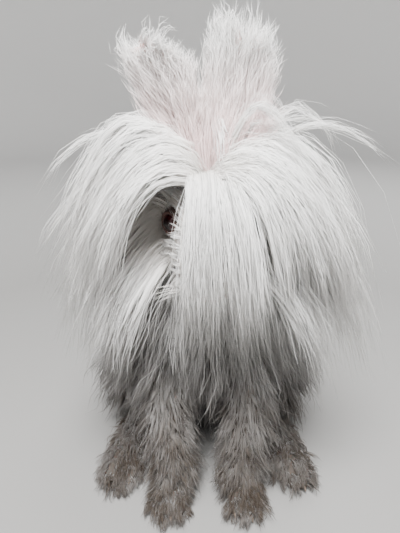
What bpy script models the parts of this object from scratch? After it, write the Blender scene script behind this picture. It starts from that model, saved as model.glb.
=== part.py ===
"""Angora rabbit, a life-size still model that sits on the floor with its head up.

Metres, +Z up. It faces -Y, and its left side is at +X. The origin is under its body, on the floor.
Each part is one closed solid: a body core with the long coat's locks fused into it.
"""
import math
import random

import bmesh
import bpy
from mathutils import Matrix, Vector

# Driving sizes of the animal, from the floor up
GAP = 0.0003                    # kept between solids that touch
LOCK_GAP = 0.0005               # kept by a lock that is trimmed beside another part
FLOOR_CLEAR = 0.003             # the lowest that a lock's middle line hangs
UNDERWOOL = 0.013               # how far the trunk's core stands out of the skin
SOLE = 0.0                      # height of the soles and of the seat

HEAD_CENTRE = Vector((0.0, -0.092, 0.243))
HEAD_PITCH = math.radians(42.0)     # how far the face points below level
EYE_RADIUS = 0.0085
EYE_SIDE, EYE_ALONG, EYE_UP = 0.0230, 0.002, 0.0075
EAR_LENGTH = 0.088
EAR_HALF_WIDTH = 0.0225
EAR_SKIN = 0.0026

NOSE_AXIS = Vector((0.0, -math.cos(HEAD_PITCH), -math.sin(HEAD_PITCH)))
BROW_AXIS = Vector((0.0, -math.sin(HEAD_PITCH), math.cos(HEAD_PITCH)))
SIDE_AXIS = Vector((1.0, 0.0, 0.0))
DOWN = Vector((0.0, 0.0, -1.0))

# Head sections: distance along the nose axis, half width, half height, offset towards the brow
HEAD_SECTIONS = (
    (0.0560, 0.0080, 0.0075, -0.0045),
    (0.0525, 0.0138, 0.0128, -0.0050),
    (0.0430, 0.0188, 0.0190, -0.0055),
    (0.0300, 0.0226, 0.0245, -0.0045),
    (0.0160, 0.0262, 0.0290, -0.0025),
    (0.0015, 0.0297, 0.0320, -0.0008),
    (-0.0140, 0.0310, 0.0330, 0.0000),
    (-0.0290, 0.0285, 0.0300, 0.0000),
    (-0.0400, 0.0205, 0.0215, -0.0010),
    (-0.0450, 0.0100, 0.0100, -0.0020),
)
# Trunk stations from the nape to the tail root: y, z, half width and half depth of the skin
TRUNK_STATIONS = (
    (-0.072, 0.226, 0.024, 0.026),
    (-0.058, 0.198, 0.030, 0.033),
    (-0.038, 0.165, 0.041, 0.046),
    (-0.006, 0.130, 0.050, 0.055),
    (0.032, 0.103, 0.056, 0.058),
    (0.068, 0.082, 0.058, 0.058),
    (0.100, 0.063, 0.050, 0.049),
    (0.124, 0.048, 0.030, 0.032),
    (0.134, 0.041, 0.012, 0.014),
)
NECK_SPAN = (0.0, 1.55)
CHEST_SPAN = (1.55, 4.0)
RUMP_SPAN = (4.0, 8.0)
SEAT_CENTRE, SEAT_RADII = Vector((0.0, 0.078, 0.034)), (0.062, 0.052, 0.0375)

# Each limb is a run of stations: x (of the left side), y, z, half width, half depth
FORELEG = (
    (0.036, -0.034, 0.128, 0.0175, 0.0210),
    (0.036, -0.055, 0.095, 0.0175, 0.0200),
    (0.033, -0.073, 0.060, 0.0160, 0.0170),
    (0.030, -0.084, 0.032, 0.0145, 0.0150),
    (0.029, -0.087, 0.018, 0.0135, 0.0140),
)
THIGH_CENTRE = Vector((0.062, 0.030, 0.066))
THIGH_RADII = Vector((0.034, 0.062, 0.058))
THIGH_TILT = math.radians(-18.0)

FOREFOOT_HEEL, FOREFOOT_LENGTH, FOREFOOT_HALF_WIDTH, FOREFOOT_HEIGHT = (0.029, -0.074), 0.044, 0.0145, 0.020
HINDFOOT_HEEL, HINDFOOT_LENGTH, HINDFOOT_HALF_WIDTH, HINDFOOT_HEIGHT = (0.064, 0.020), 0.108, 0.0165, 0.022
FOREFOOT_TURN, HINDFOOT_TURN = math.radians(5.0), math.radians(9.0)
CLAW_LENGTH, CLAW_RADIUS = 0.0062, 0.0016

COLOURS = {
    "wool": ((0.86, 0.85, 0.83), 0.85),
    "ear": ((0.88, 0.78, 0.76), 0.75),
    "eye": ((0.20, 0.015, 0.02), 0.10),
    "claw": ((0.62, 0.52, 0.44), 0.45),
}


def head_point(side, along, up):
    """A point given in the head's own axes."""
    return HEAD_CENTRE + SIDE_AXIS * side + NOSE_AXIS * along + BROW_AXIS * up


def blend(rows, s):
    """The row at the fractional index s, on a smooth curve through all rows."""
    last = len(rows) - 1
    i = min(int(s), last - 1)
    f = s - i
    a, b, c, d = (rows[min(max(k, 0), last)] for k in (i - 1, i, i + 1, i + 2))
    return [0.5 * (2 * q + (r - p) * f + (2 * p - 5 * q + 4 * r - t) * f * f + (3 * q - p - 3 * r + t) * f ** 3)
            for p, q, r, t in zip(a, b, c, d)]


def trunk_frame(s):
    """Centre, tangent towards the tail, dorsal direction and skin radii of the trunk at station s."""
    y, z, wide, deep = blend(TRUNK_STATIONS, s)
    before, after = blend(TRUNK_STATIONS, max(s - 0.2, 0.0)), blend(TRUNK_STATIONS, min(s + 0.2, 8.0))
    tangent = Vector((0.0, after[0] - before[0], after[1] - before[1])).normalized()
    dorsal = Vector((0.0, -tangent.z, tangent.y))
    return Vector((0.0, y, z)), tangent, dorsal, wide, deep


def on_trunk(s, angle, out=UNDERWOOL):
    """A point on the trunk's core and its normal. The angle runs from the back (0) to the left flank (90 degrees)."""
    centre, _, dorsal, wide, deep = trunk_frame(s)
    side, top = math.sin(angle), math.cos(angle)
    point = centre + SIDE_AXIS * side * (wide + out) + dorsal * top * (deep + out)
    normal = (SIDE_AXIS * side / (wide + out) + dorsal * top / (deep + out)).normalized()
    return point, normal


def on_head(along, angle, out=0.0):
    """A point on the head and its normal. The angle runs from the brow (0) to the left cheek (90 degrees)."""
    stations = [row[0] for row in HEAD_SECTIONS]
    i = next(k for k in range(len(stations) - 1) if stations[k + 1] <= along)
    s = i + (stations[i] - along) / (stations[i] - stations[i + 1])
    _, wide, high, offset = blend(HEAD_SECTIONS, s)
    side, top = math.sin(angle), math.cos(angle)
    point = head_point(side * (wide + out), along, offset + top * (high + out))
    return point, (SIDE_AXIS * side / wide + BROW_AXIS * top / high).normalized()


def mesh_object(name, bm):
    mesh = bpy.data.meshes.new(name)
    bmesh.ops.recalc_face_normals(bm, faces=bm.faces)
    bm.to_mesh(mesh)
    bm.free()
    obj = bpy.data.objects.new(name, mesh)
    bpy.context.scene.collection.objects.link(obj)
    return obj


def loft(name, rings, tip=None):
    """A closed body through rings of equally many points, ending in a point where a tip is given."""
    bm = bmesh.new()
    rows = [[bm.verts.new(p) for p in ring] for ring in rings]
    for low, high in zip(rows, rows[1:]):
        for k in range(len(low)):
            bm.faces.new((low[k - 1], low[k], high[k], high[k - 1]))
    bm.faces.new(rows[0])
    if tip is None:
        bm.faces.new(rows[-1])
    else:
        point = bm.verts.new(tip)
        for k in range(len(rows[-1])):
            bm.faces.new((rows[-1][k - 1], rows[-1][k], point))
    bmesh.ops.triangulate(bm, faces=bm.faces)
    return mesh_object(name, bm)


def oval(centre, across, up, wide, high, count):
    """A ring of points round an oval."""
    turns = (2 * math.pi * k / count for k in range(count))
    return [centre + across * math.sin(a) * wide + up * math.cos(a) * high for a in turns]


def ball(name, centre, radii, turn=None, segments=16, rings=10):
    """An ellipsoid."""
    bm = bmesh.new()
    bmesh.ops.create_uvsphere(bm, u_segments=segments, v_segments=rings, radius=1.0)
    spin = turn.to_4x4() if turn else Matrix.Identity(4)
    bm.transform(Matrix.Translation(centre) @ spin @ Matrix.Diagonal((*radii, 1.0)))
    bmesh.ops.triangulate(bm, faces=bm.faces)
    return mesh_object(name, bm)


def tube(name, points, radius, rounds=0):
    """A thin closed tube along a line of points."""
    curve = bpy.data.curves.new(name, "CURVE")
    curve.dimensions = "3D"
    curve.bevel_depth = radius
    curve.bevel_resolution = rounds
    curve.use_fill_caps = True
    spline = curve.splines.new("POLY")
    spline.points.add(len(points) - 1)
    for target, p in zip(spline.points, points):
        target.co = (*p, 1.0)
    guide = bpy.data.objects.new(name, curve)
    bpy.context.scene.collection.objects.link(guide)
    graph = bpy.context.evaluated_depsgraph_get()
    bm = bmesh.new()
    bm.from_mesh(bpy.data.meshes.new_from_object(guide.evaluated_get(graph)))
    bpy.data.objects.remove(guide)
    bmesh.ops.remove_doubles(bm, verts=bm.verts, dist=1e-6)
    bmesh.ops.triangulate(bm, faces=bm.faces)
    return mesh_object(name, bm)


def combine(body, operation, tools, solver="MANIFOLD"):
    """Applies one Boolean with all the tools, then removes them."""
    if not tools:
        return body
    group = bpy.data.collections.new("tools")
    bpy.context.scene.collection.children.link(group)
    for tool in tools:
        group.objects.link(tool)
    modifier = body.modifiers.new(operation, "BOOLEAN")
    modifier.operation, modifier.solver = operation, solver
    modifier.operand_type, modifier.collection = "COLLECTION", group
    graph = bpy.context.evaluated_depsgraph_get()
    mesh = bpy.data.meshes.new_from_object(body.evaluated_get(graph))
    body.modifiers.clear()
    body.data = mesh
    for tool in tools:
        bpy.data.objects.remove(tool)
    bpy.data.collections.remove(group)
    return body


def fuse(pieces):
    return combine(pieces[0], "UNION", pieces[1:])


def keep_largest(body):
    """Leaves only the largest closed surface, so that a loose scrap or a sealed hollow goes."""
    bm = bmesh.new()
    bm.from_mesh(body.data)
    bmesh.ops.triangulate(bm, faces=bm.faces)
    unseen, islands = set(bm.faces), []
    while unseen:
        stack, island = [unseen.pop()], []
        while stack:
            face = stack.pop()
            island.append(face)
            for edge in face.edges:
                for near in edge.link_faces:
                    if near in unseen:
                        unseen.discard(near)
                        stack.append(near)
        islands.append(island)
    volume = [sum(f.verts[0].co.dot(f.verts[1].co.cross(f.verts[2].co)) for f in island) for island in islands]
    kept = volume.index(max(volume))
    loose = [f for k, island in enumerate(islands) if k != kept for f in island]
    bmesh.ops.delete(bm, geom=loose, context="FACES")
    bm.to_mesh(body.data)
    bm.free()
    return len(islands) - 1


# Shapes that a hanging lock is kept off: a centre, radii and how far off it stays
def keep_off_shapes():
    shapes = []
    for along, wide, high, offset in HEAD_SECTIONS[2:-1]:
        shapes.append((head_point(0.0, along, offset), (wide + high) / 2))
    for s in (0.5, 1.0, 1.5, 2.0, 2.5, 3.0, 3.5, 4.0, 4.5, 5.0, 5.5, 6.0, 6.5):
        centre, _, _, wide, deep = trunk_frame(s)
        shapes.append((centre, (wide + deep) / 2 + UNDERWOOL))
    return shapes


SHAPES = keep_off_shapes()


def nearest_out(point):
    """The outward direction and the distance from the nearest body shape."""
    centre, radius = min(SHAPES, key=lambda shape: (point - shape[0]).length - shape[1])
    out = point - centre
    return out.normalized(), out.length - radius


LOCK_WIDTHS = (0.70, 1.00, 0.95, 0.62, 0.0)     # shares of a lock's width, from its root to its tip
LOCK_DEPTHS = (1.00, 0.95, 0.75, 0.50, 0.0)
PACES = 16                       # small paces in which a lock's middle line is followed


def taper(shares, place):
    """The share at a place between the root (0) and the tip (1)."""
    k = min(int(place * 4), 3)
    return shares[k] + (shares[k + 1] - shares[k]) * (place * 4 - k)


def lock_path(root, start, length, droop, clear):
    """Points down the middle of a lock: it leaves along start, bends down as it goes, and stays off body and floor."""
    points, point = [root], root.copy()
    for k in range(PACES):
        share = (k + 0.5) / PACES
        point = point + (start + DOWN * droop * share * 1.6).normalized() * length / PACES
        if clear is not None and share > 0.15:
            out, off = nearest_out(point)
            wanted = min(clear, clear * share * 3.0)
            if off < wanted:
                point = point + out * (wanted - off)
        point.z = max(point.z, SOLE + FLOOR_CLEAR)
        points.append(point.copy())
    return points


def lock(root, start, length, width, depth, droop=1.0, clear=None, facing=None, steps=4, grow=0.0):
    """One flat tapered lock of the coat. It stays clear of the body by a distance, or hangs free where there is none."""
    path = lock_path(root, start.normalized(), length, droop, clear)
    points = [path[round(PACES * k / steps)] for k in range(steps + 1)]
    rings = []
    for k in range(steps):
        ahead = (points[k + 1] - points[max(k - 1, 0)]).normalized()
        out = facing or nearest_out(points[k])[0]
        out = (out - ahead * out.dot(ahead)).normalized()
        across = ahead.cross(out).normalized()
        half = width / 2 * taper(LOCK_WIDTHS, k / steps) + grow
        high = depth / 2 * taper(LOCK_DEPTHS, k / steps) + grow
        base = points[k]
        rings.append([base + across * half, base + out * high, base - across * half, base - out * high])
    end = points[-1] + (points[-1] - points[-2]).normalized() * grow * 2
    return loft("lock", rings, end)




def paint(name):
    """A Principled material of one of the model's colours."""
    material = bpy.data.materials.get(name)
    if material is None:
        colour, roughness = COLOURS[name]
        material = bpy.data.materials.new(name)
        material.use_nodes = True
        shader = material.node_tree.nodes["Principled BSDF"]
        shader.inputs["Base Color"].default_value = (*colour, 1.0)
        shader.inputs["Roughness"].default_value = roughness
        shader.inputs["Metallic"].default_value = 0.0
        material.diffuse_color = (*colour, 1.0)
    return material


def eye_centre(sign):
    return head_point(sign * EYE_SIDE, EYE_ALONG, EYE_UP)


def eye_core(sign, grow=0.0):
    return [ball("eye", eye_centre(sign), [EYE_RADIUS + grow] * 3, HEAD_TURN, 12, 8)]


HEAD_TURN = Matrix((SIDE_AXIS, -NOSE_AXIS, BROW_AXIS)).transposed()
LID = 0.0018                     # thickness of the lids over the eye
LIP_RADIUS, MOUTH_LINE = 0.0021, 0.0008


def mouth_points():
    """The line of the mouth, from corner to corner under the nose."""
    shares = [k / 3 - 1 for k in range(7)]
    return [on_head(0.0505 - 0.016 * a * a, math.pi + a * math.radians(72))[0] for a in shares]


def head_core(grow=0.0):
    """Skull, muzzle, whisker pads, lips, chin and lids."""
    rings = []
    for k, (along, wide, high, offset) in enumerate(HEAD_SECTIONS):
        shift = grow if k == 0 else -grow if k == len(HEAD_SECTIONS) - 1 else 0.0
        rings.append(oval(head_point(0, along + shift, offset), SIDE_AXIS, BROW_AXIS, wide + grow, high + grow, 14))
    pieces = [loft("skull", rings)]
    for sign in (1, -1):
        lid = EYE_RADIUS + LID + grow
        pieces.append(ball("lids", eye_centre(sign), (lid, lid * 1.12, lid), HEAD_TURN, 12, 6))
        pad = head_point(sign * 0.0095, 0.0425, -0.0060)
        pieces.append(ball("whisker_pad", pad, [r + grow for r in (0.0110, 0.0125, 0.0112)], HEAD_TURN, 10, 6))
        cheek = head_point(sign * 0.0170, 0.0060, -0.0120)
        pieces.append(ball("cheek", cheek, [r + grow for r in (0.0130, 0.0200, 0.0180)], HEAD_TURN, 10, 6))
    pieces.append(tube("lips", mouth_points(), LIP_RADIUS + grow, 1))
    nose = head_point(0, 0.0545, -0.0010)
    pieces.append(ball("nose_pad", nose, [r + grow for r in (0.0062, 0.0040, 0.0045)], HEAD_TURN, 10, 6))
    return pieces


def face_openings():
    """Cutters for the lid openings, the nostrils, the split of the upper lip and the line of the mouth."""
    cutters = [tube("mouth_line", mouth_points(), MOUTH_LINE)]
    split = [head_point(0, 0.0590, -0.0030), head_point(0, 0.0570, -0.0090), mouth_points()[3]]
    cutters.append(tube("lip_split", split, MOUTH_LINE))
    for sign in (1, -1):
        opening = eye_centre(sign) + SIDE_AXIS * sign * (EYE_RADIUS + 0.0010)
        cutters.append(ball("lid_opening", opening, (0.0052, 0.0072, 0.0058), HEAD_TURN, 12, 8))
        slit = [head_point(sign * 0.0020, 0.0588, -0.0025), head_point(sign * 0.0056, 0.0560, 0.0008)]
        cutters.append(tube("nostril", slit, 0.0009))
    return cutters


def ear_frame(sign):
    """Root, direction of the tip, direction that the cup faces, and width direction of an ear."""
    root = head_point(sign * 0.0165, -0.0270, 0.0230)
    if sign > 0:
        up, facing = Vector((0.10, 0.06, 1.0)).normalized(), Vector((0.25, -1.0, 0.1))
    else:
        up, facing = Vector((-0.42, 0.04, 1.0)).normalized(), Vector((-0.75, -0.8, -0.1))
    facing = (facing - up * facing.dot(up)).normalized()
    return root, up, facing, up.cross(facing).normalized()


EAR_SHAPE = (  # share of the length, of the half width, and depth of the cup in metres
    (0.00, 0.40, 0.0075),
    (0.14, 0.55, 0.0080),
    (0.32, 0.85, 0.0080),
    (0.52, 1.00, 0.0070),
    (0.72, 0.92, 0.0055),
    (0.88, 0.66, 0.0035),
    (1.00, 0.24, 0.0015),
)
EAR_BEND = 0.010                 # how far back the ear's middle stands from a straight line


def ear_point(sign, share, across, lift=0.0):
    """A point on the ear's inner face: across runs from -1 to 1 between the edges."""
    root, up, facing, width = ear_frame(sign)
    k = next(i for i in range(len(EAR_SHAPE) - 1) if share <= EAR_SHAPE[i + 1][0])
    (s0, w0, c0), (s1, w1, c1) = EAR_SHAPE[k], EAR_SHAPE[k + 1]
    f = (share - s0) / (s1 - s0)
    half, cup = EAR_HALF_WIDTH * (w0 + (w1 - w0) * f), c0 + (c1 - c0) * f
    centre = root + up * EAR_LENGTH * share - facing * EAR_BEND * math.sin(math.pi * share * 0.9)
    return centre + width * half * across - facing * (cup * (1 - across * across) - lift)


def ear_core(sign, grow=0.0):
    """A cupped leaf, closed round its rim."""
    facing = ear_frame(sign)[2]
    rings = []
    for share, _, _ in EAR_SHAPE:
        shares = [j / 3 - 1 for j in range(7)]
        inner = [ear_point(sign, share, a * (1 + grow / EAR_HALF_WIDTH * 2), grow) for a in shares]
        thick = [EAR_SKIN * (1 - 0.45 * a * a) + 2 * grow for a in shares]
        outer = [p - facing * t for p, t in zip(inner, thick)]
        rings.append(inner + outer[::-1])
    return [loft("ear", rings)]


def trunk_core(span, grow=0.0, count=16):
    """A length of the trunk between two stations, with the wool's core round it."""
    low, high = span
    steps = round((high - low) * 1.5)
    rings = []
    for k in range(steps + 1):
        s = low + (high - low) * k / steps
        centre, tangent, dorsal, wide, deep = trunk_frame(s)
        if k == 0 and low > 0:
            centre = centre + tangent * (GAP / 2 - grow)
        if k == steps and high < 8:
            centre = centre - tangent * (GAP / 2 - grow)
        out = UNDERWOOL + grow
        rings.append(oval(centre, SIDE_AXIS, dorsal, wide + out, deep + out, count))
    return [loft("trunk", rings)]


def rump_core(grow=0.0):
    """The end of the trunk with the seat that it rests on."""
    seat = [r + grow for r in SEAT_RADII]
    return trunk_core(RUMP_SPAN, grow) + [ball("seat", SEAT_CENTRE, seat, None, 14, 8)]


def mirrored(point, sign):
    return Vector((point[0] * sign, point[1], point[2]))


def foreleg_core(sign, grow=0.0):
    rings = []
    for k, (x, y, z, wide, deep) in enumerate(FORELEG):
        before, after = FORELEG[max(k - 1, 0)], FORELEG[min(k + 1, len(FORELEG) - 1)]
        tangent = (Vector(after[:3]) - Vector(before[:3])).normalized()
        front = tangent.cross(SIDE_AXIS).normalized()
        rings.append(oval(mirrored((x, y, z), sign), SIDE_AXIS, front, wide + grow, deep + grow, 10))
    return [loft("foreleg", rings)]


def thigh_core(sign, grow=0.0):
    turn = Matrix.Rotation(THIGH_TILT, 3, "X")
    return [ball("thigh", mirrored(THIGH_CENTRE, sign), [r + grow for r in THIGH_RADII], turn, 14, 9)]


def foot_frame(heel, turn, sign):
    """Heel, forward and side directions of a foot, which turns out by an angle."""
    forward = Vector((math.sin(turn) * sign, -math.cos(turn), 0.0))
    return Vector((heel[0] * sign, heel[1], 0.0)), forward, Vector((-forward.y, forward.x, 0.0))


FOOT_PROFILE = (  # share of the length, of the half width, of the height
    (0.00, 0.50, 0.60),
    (0.12, 0.78, 0.92),
    (0.62, 0.94, 0.94),
    (0.86, 1.00, 0.74),
    (0.95, 0.80, 0.50),
)


def foot_core(heel, turn, length, half, height, sign, grow=0.0):
    """The sole and instep of a foot with its four toes. The sole is cut flat later."""
    start, forward, side = foot_frame(heel, turn, sign)
    rings = []
    for share, wide, high in FOOT_PROFILE:
        middle = start + forward * length * share + Vector((0, 0, height * high * 0.42))
        rings.append(oval(middle, side, Vector((0, 0, 1)), half * wide + grow, height * high * 0.58 + grow, 8))
    pieces = [loft("foot", rings)]
    for place, radius in toe_places(heel, turn, length, half, height, sign):
        pieces.append(ball("toe", place, [radius + grow, radius * 1.5 + grow, radius * 1.1 + grow], None, 6, 4))
    return pieces


def toe_places(heel, turn, length, half, height, sign):
    """Centre and radius of each of the four toes."""
    start, forward, side = foot_frame(heel, turn, sign)
    places = []
    for across, reach in ((-0.72, 0.90), (-0.24, 0.98), (0.24, 0.99), (0.72, 0.92)):
        radius = half * 0.34
        places.append((start + forward * length * reach + side * half * across + Vector((0, 0, radius)), radius))
    return places


def claw_core(place, forward, grow=0.0):
    """A short curved claw that leaves the toe forwards and down."""
    base, radius = place
    rings = []
    for share, thick in ((0.0, 1.0), (0.6, 0.75)):
        middle = base + forward * (radius * 0.9 + CLAW_LENGTH * share) + DOWN * (share * share * 0.0022 - 0.0008)
        rings.append(oval(middle, forward.cross(DOWN), DOWN, CLAW_RADIUS * thick + grow, CLAW_RADIUS * thick * 1.2 + grow, 4))
    tip = base + forward * (radius * 0.9 + CLAW_LENGTH + grow) + DOWN * 0.0024
    return [loft("claw", rings, tip)]


TAIL_CENTRE = Vector((0.0, 0.136, 0.052))


def tail_core(grow=0.0):
    return [ball("tail", TAIL_CENTRE, [0.018 + grow, 0.020 + grow, 0.022 + grow], None, 10, 8)]




class Part:
    """One node: its core, its coat, what is cut into its core, and the parts that its coat lies over."""

    def __init__(self, name, colour, core, coat=None, openings=None, flat=False):
        self.name, self.colour, self.core = name, colour, core
        self.coat, self.openings, self.flat = coat, openings, flat
        self.low = self.high = None

    def measure(self):
        """Finds the box that the core and the coat fill."""
        pieces = self.core() + (self.coat() if self.coat else [])
        points = [v.co for piece in pieces for v in piece.data.vertices]
        self.low = Vector(min(p[k] for p in points) for k in range(3))
        self.high = Vector(max(p[k] for p in points) for k in range(3))
        for piece in pieces:
            bpy.data.objects.remove(piece)


def reaches(a, b, margin=0.002):
    return all(a.low[k] - margin < b.high[k] and b.low[k] - margin < a.high[k] for k in range(3))


def floor_block(level):
    """A cutter for what would reach below a level."""
    bm = bmesh.new()
    bmesh.ops.create_cube(bm, size=1.0)
    bm.transform(Matrix.Translation((0.0, 0.0, level - 0.05)) @ Matrix.Diagonal((0.8, 0.8, 0.1, 1.0)))
    return mesh_object("floor", bm)


def in_order(parts, names):
    found = {part.name: part for part in parts}
    return [found[name] for name in names if name in found]


def assemble(parts, coat_order):
    """Makes each part one closed solid. Earlier parts keep their core; earlier coats lie over later ones."""
    for part in parts:
        part.measure()
    for rank, part in enumerate(parts):
        body = fuse(part.core())
        tools = [piece for other in parts[:rank] if reaches(part, other) for piece in other.core(GAP)]
        if part.openings:
            tools += part.openings()
        if part.flat:
            tools.append(floor_block(SOLE))
        combine(body, "DIFFERENCE", tools)
        if part.coat:
            wool = fuse(part.coat())
            over = coat_order[:coat_order.index(part.name)]
            near = [other for other in parts if other is not part and reaches(part, other)]
            tools = [piece for other in near for piece in other.core(LOCK_GAP)]
            tools += [piece for other in in_order(near, over) for piece in other.coat(LOCK_GAP)]
            tools.append(floor_block(SOLE + FLOOR_CLEAR / 2))
            combine(wool, "DIFFERENCE", tools)
            combine(body, "UNION", [wool])
        dropped = keep_largest(body)
        body.name = body.data.name = part.name
        body.data.materials.clear()
        body.data.materials.append(paint(part.colour))
        print(part.name, len(body.data.polygons), "triangles,", dropped, "scraps dropped")


def centre_over_origin():
    """Moves the whole model so that the middle of its bounding box stands over the origin."""
    points = [v.co for obj in bpy.data.objects for v in obj.data.vertices]
    middle = [(min(p[k] for p in points) + max(p[k] for p in points)) / 2 for k in range(2)]
    shift = Matrix.Translation((-middle[0], -middle[1], 0.0))
    for obj in bpy.data.objects:
        obj.data.transform(shift)
    print("moved by", -middle[0], -middle[1])


ROOT_DEPTH = 0.009               # how far under the core's surface a lock starts

# Rows of locks round the trunk: station, number, first and last angle in degrees (0 is the back, 90 the
# left flank), length, width, lift off the body, pull downwards, droop, distance kept off the body
NECK_ROWS = (
    (0.45, 3, 144, 216, 0.088, 0.044, 0.55, 0.75, 0.9, 0.016),
    (1.15, 4, 118, 242, 0.096, 0.046, 0.60, 0.70, 0.9, 0.020),
    (0.60, 2, 62, 94, 0.104, 0.046, 0.95, 0.25, 1.2, 0.018),
    (0.60, 2, 266, 298, 0.104, 0.046, 0.95, 0.25, 1.2, 0.018),
    (0.85, 2, -20, 20, 0.080, 0.048, 0.65, 0.00, 0.6, 0.018),
)
TORSO_ROWS = (
    (1.95, 3, 150, 210, 0.100, 0.046, 0.50, 0.80, 0.7, 0.018),
    (2.75, 2, 166, 194, 0.080, 0.040, 0.40, 0.90, 0.5, 0.014),
    (2.00, 4, -72, 72, 0.090, 0.054, 0.72, 0.05, 0.9, 0.022),
    (2.40, 2, 98, 130, 0.100, 0.048, 0.72, 0.50, 1.1, 0.022),
    (2.40, 2, 230, 262, 0.100, 0.048, 0.72, 0.50, 1.1, 0.022),
    (3.00, 5, -80, 80, 0.092, 0.056, 0.74, 0.05, 1.1, 0.024),
    (3.20, 1, 120, 120, 0.080, 0.046, 0.60, 0.70, 0.9, 0.016),
    (3.20, 1, 240, 240, 0.080, 0.046, 0.60, 0.70, 0.9, 0.016),
)
RUMP_ROWS = (
    (4.30, 5, -76, 76, 0.086, 0.056, 0.74, 0.10, 1.3, 0.024),
    (5.35, 4, -84, 84, 0.076, 0.054, 0.70, 0.20, 1.5, 0.022),
    (6.40, 4, -84, 84, 0.056, 0.046, 0.65, 0.35, 1.6, 0.018),
)


def trunk_locks(rows, seed, grow):
    rng = random.Random(seed)
    locks = []
    for s, number, first, last, length, width, lift, down, droop, clear in rows:
        for k in range(number):
            angle = math.radians(first + (last - first) * k / max(number - 1, 1) + rng.uniform(-5, 5))
            place = s + rng.uniform(-0.12, 0.12)
            root, normal = on_trunk(place, angle, UNDERWOOL - ROOT_DEPTH)
            start = trunk_frame(place)[1] * 0.6 + normal * lift + DOWN * down + SIDE_AXIS * rng.uniform(-0.12, 0.12)
            locks.append(lock(root, start, length * rng.uniform(0.9, 1.1), width * rng.uniform(0.92, 1.1),
                              0.0075, droop, clear, grow=grow))
    return locks


FRINGE_ROWS = ((-0.017, 3, 0.032, 0.124, 0.014), (-0.007, 4, 0.026, 0.116, 0.009))
FRINGE_SHIFT, FRINGE_SPREAD = 0.005, 0.012      # the fringe's middle lies left of the face's, and its half spread


def fringe_locks(rng, grow):
    """The forelock: two layers that part at the crown and fall over the middle of the face."""
    locks = []
    for along, number, width, length, clear in FRINGE_ROWS:
        for k in range(number):
            across = k / (number - 1) * 2 - 1
            root = on_head(along, (FRINGE_SHIFT + FRINGE_SPREAD * across) / 0.031, -0.006)[0]
            start = Vector((0.20 * across + 0.08, -0.85, -0.10))
            reach = length - 0.010 * abs(across) + rng.uniform(-0.006, 0.006)
            locks.append(lock(root, start, reach, width, 0.0048, 2.2, clear, Vector((0.3 * across, -1, 0.3)), grow=grow))
    return locks


# Rows of locks on each side of the head: along the head, number, first and last angle in degrees (0 is the
# brow, 90 the cheek), length, width, side, lift, back, down, droop
SIDE_ROWS = (
    (-0.034, 3, 34, 92, 0.118, 0.046, 0.66, 0.40, 0.48, 0.05, 1.35),
    (-0.025, 3, 20, 66, 0.126, 0.045, 0.84, 0.35, 0.12, -0.10, 1.15),
    (-0.017, 2, 26, 48, 0.120, 0.041, 0.86, 0.20, -0.20, 0.08, 1.50),
    (-0.020, 2, 94, 122, 0.120, 0.042, 0.66, 0.35, 0.05, 0.40, 1.20),
    (0.000, 2, 118, 146, 0.096, 0.034, 0.55, 0.30, 0.00, 0.60, 0.90),
)


def head_coat(grow=0.0):
    """Fringe, side furnishings, cheek locks, a few under the chin and some behind the crown."""
    rng = random.Random(23)
    locks = fringe_locks(rng, grow)
    for sign in (1, -1):
        for along, number, first, last, length, width, side, lift, back, down, droop in SIDE_ROWS:
            for k in range(number):
                angle = math.radians(first + (last - first) * k / (number - 1) + rng.uniform(-3, 3))
                root, normal = on_head(along, angle * sign, -0.007)
                start = SIDE_AXIS * sign * side + normal * lift - NOSE_AXIS * (back + rng.uniform(-0.1, 0.1)) + DOWN * down
                reach = length * (1.06 if sign > 0 else 0.96) * rng.uniform(0.94, 1.06)
                facing = Vector((0.45 * sign, back * 1.6 - 0.85, 0.30))
                locks.append(lock(root, start, reach, width * rng.uniform(0.92, 1.08), 0.0058, droop, 0.012,
                                  facing, 3, grow))
    for k in range(2):
        root, normal = on_head(0.014, math.radians(166 + 28 * k), -0.006)
        locks.append(lock(root, normal * 0.6 + DOWN * 0.8, 0.052, 0.028, 0.0050, 0.6, 0.008, steps=3, grow=grow))
    for along, number, spread, reach in ((-0.038, 3, 70, 0.078), (-0.042, 2, 70, 0.070)):
        for k in range(number):
            degrees = (2 * k / (number - 1) - 1) * spread + (0 if along > -0.04 else 180)
            root, normal = on_head(along, math.radians(degrees), -0.007)
            start = normal * 0.40 - NOSE_AXIS * 0.80
            locks.append(lock(root, start, reach * rng.uniform(0.92, 1.08), 0.044, 0.0065, 1.7, 0.012, None, 3, grow))
    return locks


# Locks of an ear: share of its length, place across, length, width, lean to the side, lean out of the cup
EAR_LOCKS = (
    (0.42, -0.90, 0.038, 0.020, -0.66, 0.10),
    (0.70, -0.84, 0.040, 0.021, -0.54, 0.12),
    (0.44, 0.90, 0.038, 0.020, 0.66, 0.10),
    (0.72, 0.84, 0.040, 0.021, 0.54, 0.12),
    (0.87, -0.35, 0.038, 0.021, -0.24, 0.00),
    (0.87, 0.38, 0.038, 0.021, 0.26, 0.04),
    (0.34, -0.40, 0.048, 0.021, -0.08, 0.22),
    (0.40, 0.35, 0.050, 0.021, 0.06, 0.22),
    (0.54, 0.05, 0.046, 0.024, 0.00, -0.22),
)


def ear_coat(sign, grow=0.0):
    """Tufts along the rim, at the tip, inside the cup and on the back of an ear."""
    rng = random.Random(31 + sign)
    up, facing, width_way = ear_frame(sign)[1:]
    locks = []
    for share, across, length, width, lean, out in EAR_LOCKS:
        root = ear_point(sign, share, across, -EAR_SKIN * 0.5)
        start = up + width_way * (lean + rng.uniform(-0.08, 0.08)) + facing * out
        flat = (facing + width_way * across * 0.3).normalized()
        locks.append(lock(root, start, length * rng.uniform(0.92, 1.08), width, 0.0032, 0.22,
                          facing=flat, steps=3, grow=grow))
    return locks


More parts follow.
